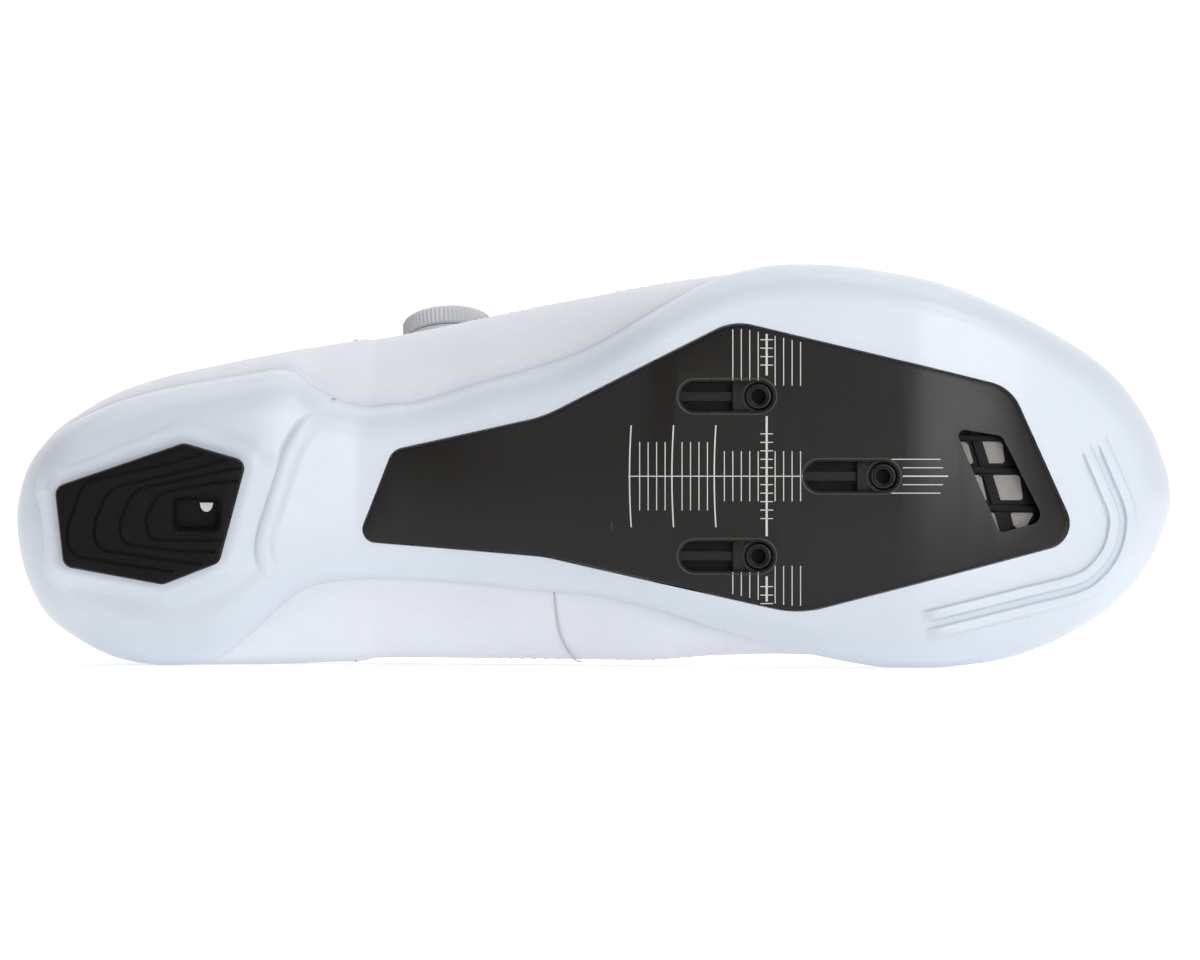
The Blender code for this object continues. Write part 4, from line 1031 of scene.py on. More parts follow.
class ShoeUpper(bpy.types.Operator):
    """Hollow white upper with its lining, panels and soft creases"""
    bl_idname = "shoe.upper"
    bl_label = "Upper"

    def execute(self, context):
        shape = sheet([upper_column(part) for part in ring()], closed=True)
        piece = make_piece("upper_shell", shape, ["upper_white", "lining_cloth"], node="upper",
                           smooth_angle=50)
        wall = piece.modifiers.new("Wall", "SOLIDIFY")
        wall.thickness = sizes().wall
        wall.offset = -1.0
        wall.use_even_offset = True
        wall.material_offset = 1
        wall.material_offset_rim = 0
        return {"FINISHED"}


# Soft creases of the upper: side, along and share up the wall at both ends, half width as a share of the
# length, depth in metres
CREASES = (
    ("medial", 0.655, 0.05, 0.610, 0.75, 0.010, 0.0007),
    ("medial", 0.725, 0.05, 0.680, 0.80, 0.012, 0.0009),
    ("medial", 0.780, 0.10, 0.745, 0.75, 0.010, 0.0006),
    ("lateral", 0.640, 0.05, 0.600, 0.75, 0.010, 0.0007),
    ("lateral", 0.705, 0.05, 0.665, 0.80, 0.012, 0.0009),
    ("lateral", 0.765, 0.10, 0.730, 0.75, 0.010, 0.0006),
    ("medial", 0.300, 0.20, 0.225, 0.85, 0.012, 0.0006),
    ("lateral", 0.300, 0.20, 0.225, 0.85, 0.012, 0.0006),
)
# Lines where one panel ends and a lower one begins, as points of along and share up the wall
COUNTER_LINE = ((0.300, 0.0), (0.290, 0.25), (0.262, 0.55), (0.215, 0.85), (0.180, 1.05))
TOE_CAP_LINE = ((0.845, 0.0), (0.835, 0.30), (0.850, 0.60), (0.880, 1.05))
PANEL_STEP = 0.0006
PANEL_SOFT = 0.003
# How much a share up the wall counts against one along the shoe, and how fast a crease ends at its sides
CREASE_UP = 0.2
CREASE_FALL = 2.2


def along_at(line, up):
    """Along of a panel line at a share up the wall."""
    rows = [(point[1], point[0]) for point in line]
    return curve_value(rows, 1, up)


def upper_relief(part, up):
    """How far the upper's face lies inside its plain form, from its creases and panel steps."""
    side_name = "medial" if part.outer.y > part.centre.y else "lateral"
    depth = 0.0
    for crease_side, along, low, end_along, end_up, half, deep in CREASES:
        if crease_side == side_name:
            ahead = Vector((end_along - along, (end_up - low) * CREASE_UP))
            offset = Vector((part.along - along, (up - low) * CREASE_UP))
            t = min(max(offset.dot(ahead) / ahead.length_squared, 0.0), 1.0)
            away = (offset - ahead * t).length / half
            depth += deep * math.exp(-away * away * CREASE_FALL)
    counter = (part.along - along_at(COUNTER_LINE, up)) / PANEL_SOFT
    cap = (along_at(TOE_CAP_LINE, up) - part.along) / PANEL_SOFT
    return depth + PANEL_STEP * min(max(min(counter, cap), 0.0), 1.0)


# Soft rim of a slot, a thin ring painted lighter than the plate as a highlight on the chamfer: rows of distance
# out from the slot and depth below the plate's face
SLOT_RIM = ((0.0009, 0.0001), (0.0008, -0.00006), (0.00065, -0.0001), (0.0005, 0.0), (0.0003, 0.0003),
            (0.0, 0.0007), (-0.00006, 0.0012))
PLATE_ROUND = 0.0009


class ShoePlate(bpy.types.Operator):
    """Black plate with round edges, chamfered slots with soft rims painted lighter as a highlight, and its vent
    window
    """
    bl_idname = "shoe.plate"
    bl_label = "Plate"

    def execute(self, context):
        s = sizes()
        through_plate = 2 * s.plate_thickness
        tools = []
        rims = []
        for place in slot_places().values():
            wide = slot_outline(*place, s.slot_chamfer)
            plain = slot_outline(*place)
            tools.append(loft(((wide, -s.slot_chamfer), (wide, 0.0), (plain, s.slot_chamfer),
                               (plain, through_plate)), plate_face))
            # Ring on each slot's chamfer, coloured lighter than the plate as a painted highlight
            rims.append(stacked([(slot_outline(*place, out), depth) for out, depth in SLOT_RIM], plate_face))
        tools.append(slab(rounded(VENT), through_plate, lifted(plate_face, -s.slot_chamfer)))
        body = carve(slab(rounded(PLATE), s.plate_thickness, plate_face, rim=PLATE_ROUND), tools)
        make_piece("plate_shell", body, ["plate_black"], node="sole_plate", smooth_angle=24)
        make_piece("slot_rim_highlights", merged(rims), ["plate_highlight_and_scuff"], smooth_angle=60)
        return {"FINISHED"}


def plate_edge(x, outline, towards_medial):
    """Sideways place of the plate's edge at a distance from the heel."""
    crossings = []
    for a, b in zip(outline, outline[1:] + outline[:1]):
        if (a.x - x) * (b.x - x) < 0:
            crossings.append(a.y + (b.y - a.y) * (x - a.x) / (b.x - a.x))
    return max(crossings) if towards_medial else min(crossings)


# Printed scale in metres: step, thicknesses of the lines, place of the first tick and how the ink lies
TICK = 0.002009
TICK_LINE = 0.00022
MAJOR_LINE = 0.00032
HEAVY_LINE = 0.0005
FIRST_TICK = 0.14875
MARK_RISE = 0.00004
MARK_DEPTH = 0.00008
# Numbers of the ticks from the heel: those with a bow, the heavy one, the last, and the first by the slots
BOWED_TICKS = (0, 5, 10)
HEAVY_TICK = 16
LAST_TICK = 20
FIRST_SIDE_TICK = 12
BOW = 0.0004
# Half lengths of the middle scale's ticks by their number, and of the others near the heel and far from it
MIDDLE_HALVES = {0: 0.0121, 5: 0.0121, 10: 0.0121, 16: 0.01424}
CLOSE_HALF = 0.0081
FAR_HALF = 0.00595
# Where the ticks beside the slots end, for those behind the heavy line, for it and for those ahead of it
LATERAL_ENDS = (-0.0285, -0.0296, -0.0272)
MEDIAL_ENDS = (0.0171, 0.01806, 0.01556)
EDGE_MARGIN = 0.0011
# Long middle line: its place and half length. Crosses on the heavy line: half length and where they start
MIDDLE_LINE = (0.1688, 0.0207)
CROSS_HALF = 0.0015
LATERAL_CROSSES = (-0.0381, 4)
MEDIAL_CROSSES = (0.0205, 3)
# Rays ahead of the front slot: number from the middle one, start and end
RAYS = ((-2, 0.2105, 0.2222), (-1, 0.2132, 0.2228), (0, 0.2132, 0.224), (1, 0.2132, 0.2228),
        (2, 0.2105, 0.2222))


def mark(x, y, half_x, half_y, bow=0.0):
    """One printed line, as a thin slab on the plate's face, bowed to the heel at its middle."""
    steps = 8 if bow else 1
    ys = [y - half_y + 2 * half_y * k / steps for k in range(steps + 1)]
    bent = [-bow * (1 - ((at - y) / half_y) ** 2) for at in ys]
    outline = [Vector((x - half_x + lean, at)) for at, lean in zip(ys, bent)]
    outline += [Vector((x + half_x + lean, at)) for at, lean in zip(reversed(ys), reversed(bent))]
    return slab(outline, MARK_DEPTH, lifted(plate_face, -MARK_RISE))


def scale_lines():
    """Every line of the printed scale: place, half sizes and, where it has one, its bow."""
    axis = sizes().slot_axis
    outline = rounded(PLATE)
    place, half = MIDDLE_LINE
    lines = [(place, axis, half, TICK_LINE / 2)]
    for k in range(LAST_TICK + 1):
        x = FIRST_TICK + TICK * k
        half = MIDDLE_HALVES.get(k, CLOSE_HALF if k < BOWED_TICKS[-1] else FAR_HALF)
        width = HEAVY_LINE if k == HEAVY_TICK else MAJOR_LINE if k in MIDDLE_HALVES else TICK_LINE
        lines.append((x, axis, width / 2, half, BOW if k in BOWED_TICKS else 0.0))
        if k < FIRST_SIDE_TICK:
            continue
        group = 0 if k < HEAVY_TICK else 1 if k == HEAVY_TICK else 2
        for ends, medial in ((LATERAL_ENDS, False), (MEDIAL_ENDS, True)):
            edge = plate_edge(x, outline, medial)
            edge -= math.copysign(EDGE_MARGIN, edge)
            lines.append((x, (edge + ends[group]) / 2, width / 2, abs(edge - ends[group]) / 2))
    heavy = FIRST_TICK + TICK * HEAVY_TICK
    crosses = [axis + TICK * k for k in range(-5, 6) if k]
    for start, count in (LATERAL_CROSSES, MEDIAL_CROSSES):
        crosses += [start + TICK * k for k in range(count)]
    lines += [(heavy, y, CROSS_HALF, TICK_LINE / 2) for y in crosses]
    for k, start, end in RAYS:
        width = TICK_LINE if k else MAJOR_LINE
        lines.append(((start + end) / 2, axis + TICK * k, (end - start) / 2, width / 2))
    return lines


# Small scuff on the plate: its place and half sizes in metres of the shoe's frame
SCUFF = (0.1441, 0.0062, 0.00014, 0.0010)


class ShoeScale(bpy.types.Operator):
    """Printed scale beside the cleat slots, as thin joined lines on the plate"""
    bl_idname = "shoe.scale"
    bl_label = "Printed scale"

    def execute(self, context):
        marks = [mark(*line) for line in scale_lines()]
        make_piece("scale_marks", merged(marks), ["scale_marks"])
        make_piece("plate_scuff", mark(*SCUFF), ["plate_highlight_and_scuff"])
        return {"FINISHED"}


# Walking pad in metres: its grooves, its rim, the soft edges of its cuts and the printed half moon
GROOVE_WIDTH = 0.0008
GROOVE_DEPTH = 0.0007
GROOVE_ROUND = 0.003
PAD_RIM = 0.0013
PAD_SOFT = 0.00022
PAD_MARK = (0.04775, 0.0006)
PAD_MARK_RADIUS = 0.00155
PAD_MARK_STRETCH = 1.4
PAD_MARK_DEPTH = 0.0022
PAD_MARK_THICKNESS = 0.0003
# Grooves of the walking pad, each open to the front: front, bend and back corners from the lateral
# side to the medial, in millimetres of the shoe's frame
PAD_GROOVES = (
    ((46.9, -11.0), (40.5, -9.1), (18.7, -4.3), (14.6, 7.1), (15.5, 13.1), (31.0, 15.7), (40.0, 16.9)),
    ((52.9, -9.6), (49.1, -8.6), (24.6, -2.7), (20.9, 6.4), (21.9, 11.6), (38.6, 14.2), (46.7, 15.2)),
    ((56.2, -7.7), (51.4, -6.9), (30.6, -2.4), (27.0, 5.7), (28.1, 10.4), (40.5, 11.9), (50.0, 12.3)),
    ((55.5, -4.6), (49.5, -4.1), (36.3, -1.7), (33.2, 4.5), (34.4, 9.0), (36.5, 9.5), (52.1, 9.5)),
)
PAD_WINDOW = ((0.0405, -0.0002), (0.0507, -0.0002), (0.0503, 0.0064), (0.0405, 0.0064))
WINDOW_CORNER = 0.0012
# Sides of the pad's window: rows of distance out from it and depth below the pad's face
WINDOW_SIDE = ((0.0017, -0.001), (0.0012, 0.0), (0.0004, 0.0006), (0.0, 0.0014), (0.0, 0.0028))


# Most of a side's length that the arc of one of its corners takes
CORNER_SHARE = 0.48


def corner_rounded(points, radius, steps=6):
    """Open path with each of its corners an arc."""
    path = [points[0]]
    for before, here, after in zip(points, points[1:], points[2:]):
        back = before - here
        ahead = after - here
        cut = min(radius, back.length * CORNER_SHARE, ahead.length * CORNER_SHARE)
        start = here + back.normalized() * cut
        end = here + ahead.normalized() * cut
        for k in range(steps + 1):
            t = k / steps
            path.append(start * (1 - t) ** 2 + here * 2 * t * (1 - t) + end * t * t)
    path.append(points[-1])
    return path


def band_outline(path, width):
    """Outline of a band of a width along an open path."""
    left = []
    right = []
    for i, here in enumerate(path):
        ahead = path[min(i + 1, len(path) - 1)] - path[max(i - 1, 0)]
        across = Vector((ahead.y, -ahead.x)).normalized() * width / 2
        left.append(here + across)
        right.append(here - across)
    return left + right[::-1]


def box_shape(corners, radius, steps=6):
    """Outline through flat corners in metres, each rounded."""
    points = [Vector(corner) for corner in corners]
    outline = []
    for i, here in enumerate(points):
        before = points[i - 1]
        after = points[(i + 1) % len(points)]
        outline += corner_rounded([before, here, after], radius, steps)[1:-1]
    return outline


class ShoeHeelPad(bpy.types.Operator):
    """Black rubber walking pad with a chamfered rim, cut grooves and a small window"""
    bl_idname = "shoe.heel_pad"
    bl_label = "Walking pad"

    def execute(self, context):
        s = sizes()
        face = pad_level()
        soft_corners = [(along, across, s.pad_corner) for along, across, _ in PAD]
        body = slab(rounded(soft_corners), s.pad_thickness, lambda x: face, rim=PAD_RIM, rim_steps=2)
        tools = []
        for groove in PAD_GROOVES:
            path = corner_rounded([Vector(corner) * MILLIMETRE for corner in groove], GROOVE_ROUND)
            tools.append(slab(band_outline(path, GROOVE_WIDTH), 2 * GROOVE_DEPTH,
                              lambda x: face - GROOVE_DEPTH, slice_length=LONG_SLICE))
        window = box_shape(PAD_WINDOW, WINDOW_CORNER)
        sides = [(grown(window, out), depth) for out, depth in WINDOW_SIDE]
        tools.append(loft(sides, lambda x: face, slice_length=LONG_SLICE))
        piece = make_piece("walking_pad", carve(body, tools), ["pad_rubber"], node="heel_pad",
                           smooth_angle=30)
        soft = piece.modifiers.new("Edges", "BEVEL")
        soft.width = PAD_SOFT
        soft.segments = 2
        soft.limit_method = "ANGLE"
        soft.angle_limit = math.radians(50)
        x, y = PAD_MARK
        steps = 12
        half = []
        for k in range(steps + 1):
            angle = math.pi * k / steps
            half.append(Vector((x + PAD_MARK_RADIUS * math.cos(angle),
                                y + PAD_MARK_RADIUS * PAD_MARK_STRETCH * math.sin(angle))))
        moon = slab(half, PAD_MARK_THICKNESS, lambda x: face + PAD_MARK_DEPTH, slice_length=LONG_SLICE)
        make_piece("pad_mark", moon, ["scale_marks"])
        return {"FINISHED"}


def placed_nut(front, across):
    """Matrix that sets a nut made at the origin, its carrier's face down on z 0, in its slot."""
    s = sizes()
    nut = front - s.slot_width / 2
    return Matrix.Translation((nut, across, plate_back(nut) + s.clearance))


# Flange of a nut's barrel: rows of distance out from the barrel and height over the carrier's face
NUT_FLANGE = ((0.0016, 0.0001), (0.0012, -0.00015), (0.0008, -0.00015), (0.0003, -0.0001), (0.0, -0.0006))
NUT_RIM = 0.00035
RIM_BEND = 0.3
# One turn of the thread: rows of depth into the bore and share of the pitch
THREAD_TURN = ((0.0, 0.25), (0.00025, 0.6), (0.0, 0.95))
THREAD_TURNS = 9
# Where the thread ends as a share of the carrier's thickness, and a length that passes through the whole nut
THREAD_END = 0.9
THROUGH_NUT = 0.02
NUT_SPOKES = 48


def nut_shape():
    """Turned barrel with a chamfered rim and a threaded hole, on a flat carrier with soft edges."""
    s = sizes()
    carrier = block((s.carrier_length, s.carrier_width, s.carrier_thickness), s.carrier_thickness / 2)
    softened(carrier, carrier.edges[:], NUT_RIM, 3)
    depth = s.plate_thickness + s.clearance - s.barrel_recess
    radius = s.barrel / 2
    bore = s.thread / 2
    deep = -depth + NUT_RIM
    rows = [(radius + out, up) for out, up in NUT_FLANGE]
    bend = NUT_RIM * RIM_BEND
    rows += [(radius, deep), (radius - bend, -depth + bend), (radius - NUT_RIM, -depth),
             (bore + NUT_RIM, -depth), (bore, deep)]
    pitch = (s.carrier_thickness + depth - NUT_RIM) / THREAD_TURNS
    for k in range(THREAD_TURNS):
        rows += [(bore - ridge_depth, deep + pitch * (k + share)) for ridge_depth, share in THREAD_TURN]
    rows.append((bore, s.carrier_thickness * THREAD_END))
    hole = bmesh.new()
    bmesh.ops.create_cone(hole, cap_ends=True, segments=NUT_SPOKES, radius1=bore, radius2=bore,
                          depth=THROUGH_NUT)
    return merged([carve(carrier, [hole]), turned_shape(rows, NUT_SPOKES)])


class ShoeNuts(bpy.types.Operator):
    """Three sliding cleat nuts, each a threaded barrel on a flat carrier"""
    bl_idname = "shoe.nuts"
    bl_label = "Cleat nuts"

    def execute(self, context):
        for name, place in slot_places().items():
            shape = nut_shape()
            bmesh.ops.transform(shape, matrix=placed_nut(*place), verts=shape.verts)
            make_piece(name.replace("cleat_nut", "threaded_nut"), shape, ["nut_steel"], node=name,
                       body=name.replace("cleat_nut", "nut"), smooth_angle=35)
        return {"FINISHED"}


# Vent window: centres of the bars, first and last corners of the black strip behind them, and the pale
# mesh seen through the cells, in metres of the shoe's frame
VENT_BARS = (-0.01505, -0.0074, 0.0016)
VENT_BAR_HALF = 0.00085
VENT_STRIP = ((0.2293, -0.0165), (0.2317, -0.0165), (0.2397, 0.0085), (0.2373, 0.0085))
VENT_MESH = (
    ((0.2259, -0.0139), (0.2289, -0.0139), (0.2305, -0.0086), (0.2276, -0.0086)),
    ((0.2316, -0.0141), (0.2374, -0.0139), (0.2380, -0.0088), (0.2328, -0.0088)),
    ((0.2296, -0.0060), (0.2322, -0.0060), (0.2337, 0.0003), (0.2312, 0.0003)),
    ((0.2350, -0.0060), (0.2416, -0.0060), (0.2425, 0.0000), (0.2366, 0.0000)),
    ((0.2335, 0.0030), (0.2365, 0.0030), (0.2376, 0.0080), (0.2350, 0.0080)),
    ((0.2393, 0.0030), (0.2452, 0.0030), (0.2431, 0.0066), (0.2403, 0.0066)),
)
# Dots at the mesh's corners, and half widths of a bar and of the rails on the slots' floors
VENT_DOT = 0.00042
RAIL_HALF = 0.00105
# How far a bar reaches past the window, its slant across the window, and its soft rim
BAR_PAST = 0.0005
BAR_SLANT = 0.0006
BAR_RIM = 0.0003
# Parts behind the window: thickness, and how far before the grille's depth they start
FRAME_LAYER = (0.0004, 0.0)
STRIP_LAYER = (0.0005, 0.0006)
DOT_LAYER = (0.0003, 0.0004)
MESH_LAYER = (0.0002, 0.0002)
MESH_CORNER = 0.0007
RAIL_THICKNESS = 0.0002
# Clearances between a nut's carrier and the floor of its slot
RAIL_FLOOR = 1.5


def window_layer(outline, layer):
    """Thin slab of an outline behind the vent window."""
    thickness, before = layer
    start = lifted(plate_back, sizes().vent_depth - before)
    return slab(outline, thickness, start, slice_length=LONG_SLICE)


def slot_rail(front, across):
    """Raised line on the floor of a slot, from its rear end to its nut's carrier."""
    s = sizes()
    behind = front - s.slot_length
    ahead = front - s.slot_width / 2 - s.carrier_length / 2
    low, high = across - RAIL_HALF, across + RAIL_HALF
    strip = [Vector(corner) for corner in ((behind, low), (ahead, low), (ahead, high), (behind, high))]
    floor = lifted(plate_back, s.carrier_thickness + RAIL_FLOOR * s.clearance)
    return slab(strip, RAIL_THICKNESS, floor, slice_length=LONG_SLICE)


class ShoeTray(bpy.types.Operator):
    """Finish of the nut tray, and the vent window's bars with the pale mesh behind them"""
    bl_idname = "shoe.tray"
    bl_label = "Tray and grille"

    def execute(self, context):
        s = sizes()
        tray = frame["nodes"]["nut_tray"]
        tray.data.materials.clear()
        tray.data.materials.append(material("tray_black"))
        rails = [slot_rail(*place) for place in slot_places().values()]
        make_piece("slot_rails", merged(rails), ["plate_black"], smooth_angle=30)
        window = rounded(VENT)
        inner = min(point.x for point in window)
        start = inner - BAR_PAST
        end = max(point.x for point in window) + BAR_PAST
        bar_level = lifted(plate_back, (window[0].x - inner) / 2)
        parts = [window_layer(grown(window, s.vent_frame), FRAME_LAYER)]
        for across in VENT_BARS:
            low, high = across - VENT_BAR_HALF, across + VENT_BAR_HALF
            corners = ((start, low), (end, low + BAR_SLANT), (end, high + BAR_SLANT), (start, high))
            parts.append(slab([Vector(corner) for corner in corners], s.vent_depth, bar_level, rim=BAR_RIM,
                              rim_steps=2, slice_length=LONG_SLICE))
        parts.append(window_layer([Vector(corner) for corner in VENT_STRIP], STRIP_LAYER))
        patches = []
        sides = 12
        turns = [2 * math.pi * k / sides for k in range(sides)]
        for cell in VENT_MESH:
            patches.append(window_layer(box_shape(cell, MESH_CORNER, 3), MESH_LAYER))
            for x, y in cell[1:]:
                dot = [(x + VENT_DOT * math.cos(turn), y + VENT_DOT * math.sin(turn)) for turn in turns]
                parts.append(window_layer([Vector(point) for point in dot], DOT_LAYER))
        make_piece("vent_bars", merged(parts), ["tray_black"], node="vent_grille", smooth_angle=30)
        make_piece("vent_mesh", merged(patches), ["window_cloth"], smooth_angle=30)
        return {"FINISHED"}


# Footbed in metres: its distance from the sole's inner side, and the rows of its edge from its underside up,
# as distance in from the edge and height
FOOTBED_INSET = 0.0028
FOOTBED_THICKNESS = 0.003
FOOTBED_EDGE = ((0.0006, 0.0002), (0.0, 0.0009), (0.0, 0.0018), (0.0005, 0.0026), (0.0014, 0.003))


class ShoeInsole(bpy.types.Operator):
    """Pale mesh footbed, seen through the vent window and from the collar"""
    bl_idname = "shoe.insole"
    bl_label = "Footbed"

    def execute(self, context):
        s = sizes()
        base = s.wall + 3 * s.clearance
        steps = 6
        columns = []
        for part in ring():
            edge = part.sole_reach - s.cup_flare - s.lip_wall - s.wall - FOOTBED_INSET
            flat = [edge * k / steps for k in range(steps)]
            rows = [(out, 0.0) for out in flat] + [(edge - back, up) for back, up in FOOTBED_EDGE]
            rows += [(out, FOOTBED_THICKNESS) for out in reversed(flat)]
            columns.append([part.over(out, feather, base + up) for out, up in rows])
        make_piece("footbed", sheet(columns, closed=True), ["footbed_mesh"], node="insole",
                   smooth_angle=60)
        return {"FINISHED"}


# Tongue in metres: its thickness and the depth of its two seams
TONGUE_THICKNESS = 0.0034
SEAM_DEPTH = 0.0007
# Rows from throat to toe that its soft end takes, its narrowest share there, and its thinnest share
TONGUE_END_ROWS = 5
TONGUE_END_WIDTH = 0.7
TONGUE_THINNEST = 0.02
# Shares of its half width: soft rim's width, the seams' place and width
TONGUE_RIM = 0.1
SEAM_PLACE = 0.72
SEAM_WIDTH = 0.03


def quarter_round(share):
    """Height of a quarter circle at a share of the way in from its end."""
    return math.sqrt(max(1 - (1 - min(share, 1.0)) ** 2, 0.0))


def tongue_loop(along, end_soft):
    """Points round the tongue at a share of the length, thinner and narrower where its end is soft."""
    s = sizes()
    inset = s.wall + s.tongue_gap
    half_rows = 18
    outer = []
    inner = []
    for j in range(-half_rows, half_rows + 1):
        part = side_section(along, "lateral" if j <= 0 else "medial")
        across = abs(j) / half_rows
        out = across * (TONGUE_END_WIDTH + (1 - TONGUE_END_WIDTH) * end_soft) * s.tongue_width / 2
        rim = quarter_round((1 - across) / TONGUE_RIM)
        seam = math.exp(-((across - SEAM_PLACE) / SEAM_WIDTH) ** 2) * SEAM_DEPTH * end_soft
        share = out / (part.reach - inset)
        low = widest(part.x)
        rise = (1 - share ** BULGE) ** (1 / BULGE) * (ridge(part.x) - inset - low)
        half = TONGUE_THICKNESS / 2 * max(rim * end_soft, TONGUE_THINNEST)
        level = low + rise - TONGUE_THICKNESS / 2
        outer.append(part.point(out, level + half - seam))
        inner.append(part.point(out, level - half))
    return outer + inner[::-1]


class ShoeTongue(bpy.types.Operator):
    """Padded tongue behind the throat, with soft edges and two stitched channels"""
    bl_idname = "shoe.tongue"
    bl_label = "Tongue"

    def execute(self, context):
        reach = sizes().tongue_reach / sizes().length
        start = COLLAR[-2][0] - reach
        end = THROAT[-1][0] + reach
        rows = 48
        loops = []
        for k in range(rows + 1):
            end_soft = quarter_round(min(k, rows - k) / TONGUE_END_ROWS)
            loops.append(tongue_loop(start + (end - start) * k / rows, end_soft))
        shape = sheet([list(column) for column in zip(*loops)], closed=True)
        bmesh.ops.holes_fill(shape, edges=[edge for edge in shape.edges if edge.is_boundary], sides=0)
        bmesh.ops.recalc_face_normals(shape, faces=shape.faces)
        piece = make_piece("tongue_pad", shape, ["tongue_cloth"], node="tongue", smooth_angle=60)
        return {"FINISHED"}


def standing(place, ahead, across, outward):
    """Matrix at a place with three given axes."""
    return Matrix.Translation(place) @ Matrix((ahead, across, outward)).transposed().to_4x4()


# Step to the next point of the upper's face, as a share of the length and as an angle
SKIN_STEP = 0.004


def skin_frame(along, side_name, up, lift=0.0):
    """Matrix that stands a piece on the upper's face, its z outward and its x towards the toe."""
    part = side_section(along, side_name)
    end = part.end_angle()
    here = part.wall_point(end * up)
    ahead = side_section(along + SKIN_STEP, side_name)
    forward = (ahead.wall_point(ahead.end_angle() * up) - here).normalized()
    higher = (part.wall_point(end * up + SKIN_STEP) - here).normalized()
    outward = forward.cross(higher).normalized()
    if outward.to_2d().dot(part.outward) < 0:
        outward.negate()
    across = outward.cross(forward).normalized()
    return standing(here + outward * lift, across.cross(outward).normalized(), across, outward)


def turned_shape(rows, spokes, ripple=0.0, teeth=0, gripped=()):
    """Shape turned round z from rows of radius and height, the gripped rows rippled into teeth."""
    columns = []
    for number in range(spokes):
        angle = 2 * math.pi * number / spokes
        wave = 1.0 + ripple * math.cos(angle * teeth)
        column = []
        for row, (out, up) in enumerate(rows):
            reach = out * wave if row in gripped else out
            column.append(Vector((reach * math.cos(angle), reach * math.sin(angle), up)))
        columns.append(column)
    return sheet(columns, closed=True)


def swept(points, radius, sides=12):
    """Closed tube along points."""
    across = Vector((0.0, 0.0, 1.0))
    rings = []
    for i, here in enumerate(points):
        ahead = (points[min(i + 1, len(points) - 1)] - points[max(i - 1, 0)]).normalized()
        across = (across - ahead * across.dot(ahead)).normalized()
        other = ahead.cross(across)
        rings.append([])
        for k in range(sides):
            angle = 2 * math.pi * k / sides
            rings[-1].append(here + (across * math.cos(angle) + other * math.sin(angle)) * radius)
    return sheet([[points[0], *column, points[-1]] for column in zip(*rings)], closed=True)


# Lines of stitches as points of along and share up the wall, on both sides
PANEL_STITCH = 0.009
STITCH_LINES = (
    tuple((along - PANEL_STITCH, up) for along, up in COUNTER_LINE[:-1]),
    tuple((along + PANEL_STITCH, up) for along, up in TOE_CAP_LINE[:-1]),
    ((0.040, 0.93), (0.129, 0.92), (0.204, 0.92), (0.300, 0.93), (0.345, 0.94)),
    ((0.345, 0.94), (0.450, 0.95), (0.560, 0.95), (0.640, 0.94), (0.690, 0.90)),
)
STITCH_GAP = 0.0031
STITCH_SIZE = (0.0021, 0.00052, 0.00044)
STITCH_ROUND = 0.00014
# Groups of pinholes, each a dark disc of painted shade on the upper: first and last along, rows and columns
PINHOLES = ((0.395, 0.478, 3, 8), (0.520, 0.593, 3, 7))
PINHOLE_START = 0.02
PINHOLE_ROW = 0.035
PINHOLE_RADIUS = 0.0005
PINHOLE_LIFT = 0.00004
# Seam on the big-toe side: share up the lower bulge and along, then its thickness and depth in metres
SIDE_SEAM = ((0.0, 0.4650), (0.35, 0.4690), (0.70, 0.4790), (1.0, 0.4880))
SIDE_SEAM_RADIUS = 0.00018
SIDE_SEAM_SUNK = 0.00006
# Padded roll inside the collar: its share up the wall, and where it ends as a share of the length
COLLAR_ROLL_UP = 0.965
COLLAR_ROLL_END = 0.35


def skin_line(line, side_name, gap):
    """Frames an even gap apart on the upper's face along a line, their x along the line."""
    places = []
    steps = 20
    for (along, up), (end_along, end_up) in zip(line, line[1:]):
        for k in range(steps):
            t = k / steps
            matrix = skin_frame(along + (end_along - along) * t, side_name, up + (end_up - up) * t)
            places.append((matrix.translation, matrix.to_3x3().col[2]))
    frames = []
    walked = gap
    for (here, outward), (after, _) in zip(places, places[1:]):
        walked += (after - here).length
        if walked >= gap:
            walked -= gap
            ahead = (after - here).normalized()
            across = outward.cross(ahead).normalized()
            frames.append(standing(here, ahead, across, ahead.cross(across)))
    return frames


def copies(shape, frames):
    """One shape out of copies of a shape, one at each frame."""
    mesh = bpy.data.meshes.new("copied")
    shape.to_mesh(mesh)
    shape.free()
    whole = bmesh.new()
    for matrix in frames:
        first = len(whole.verts)
        whole.from_mesh(mesh)
        whole.verts.ensure_lookup_table()
        bmesh.ops.transform(whole, matrix=matrix, verts=whole.verts[first:])
    bpy.data.meshes.remove(mesh)
    return whole


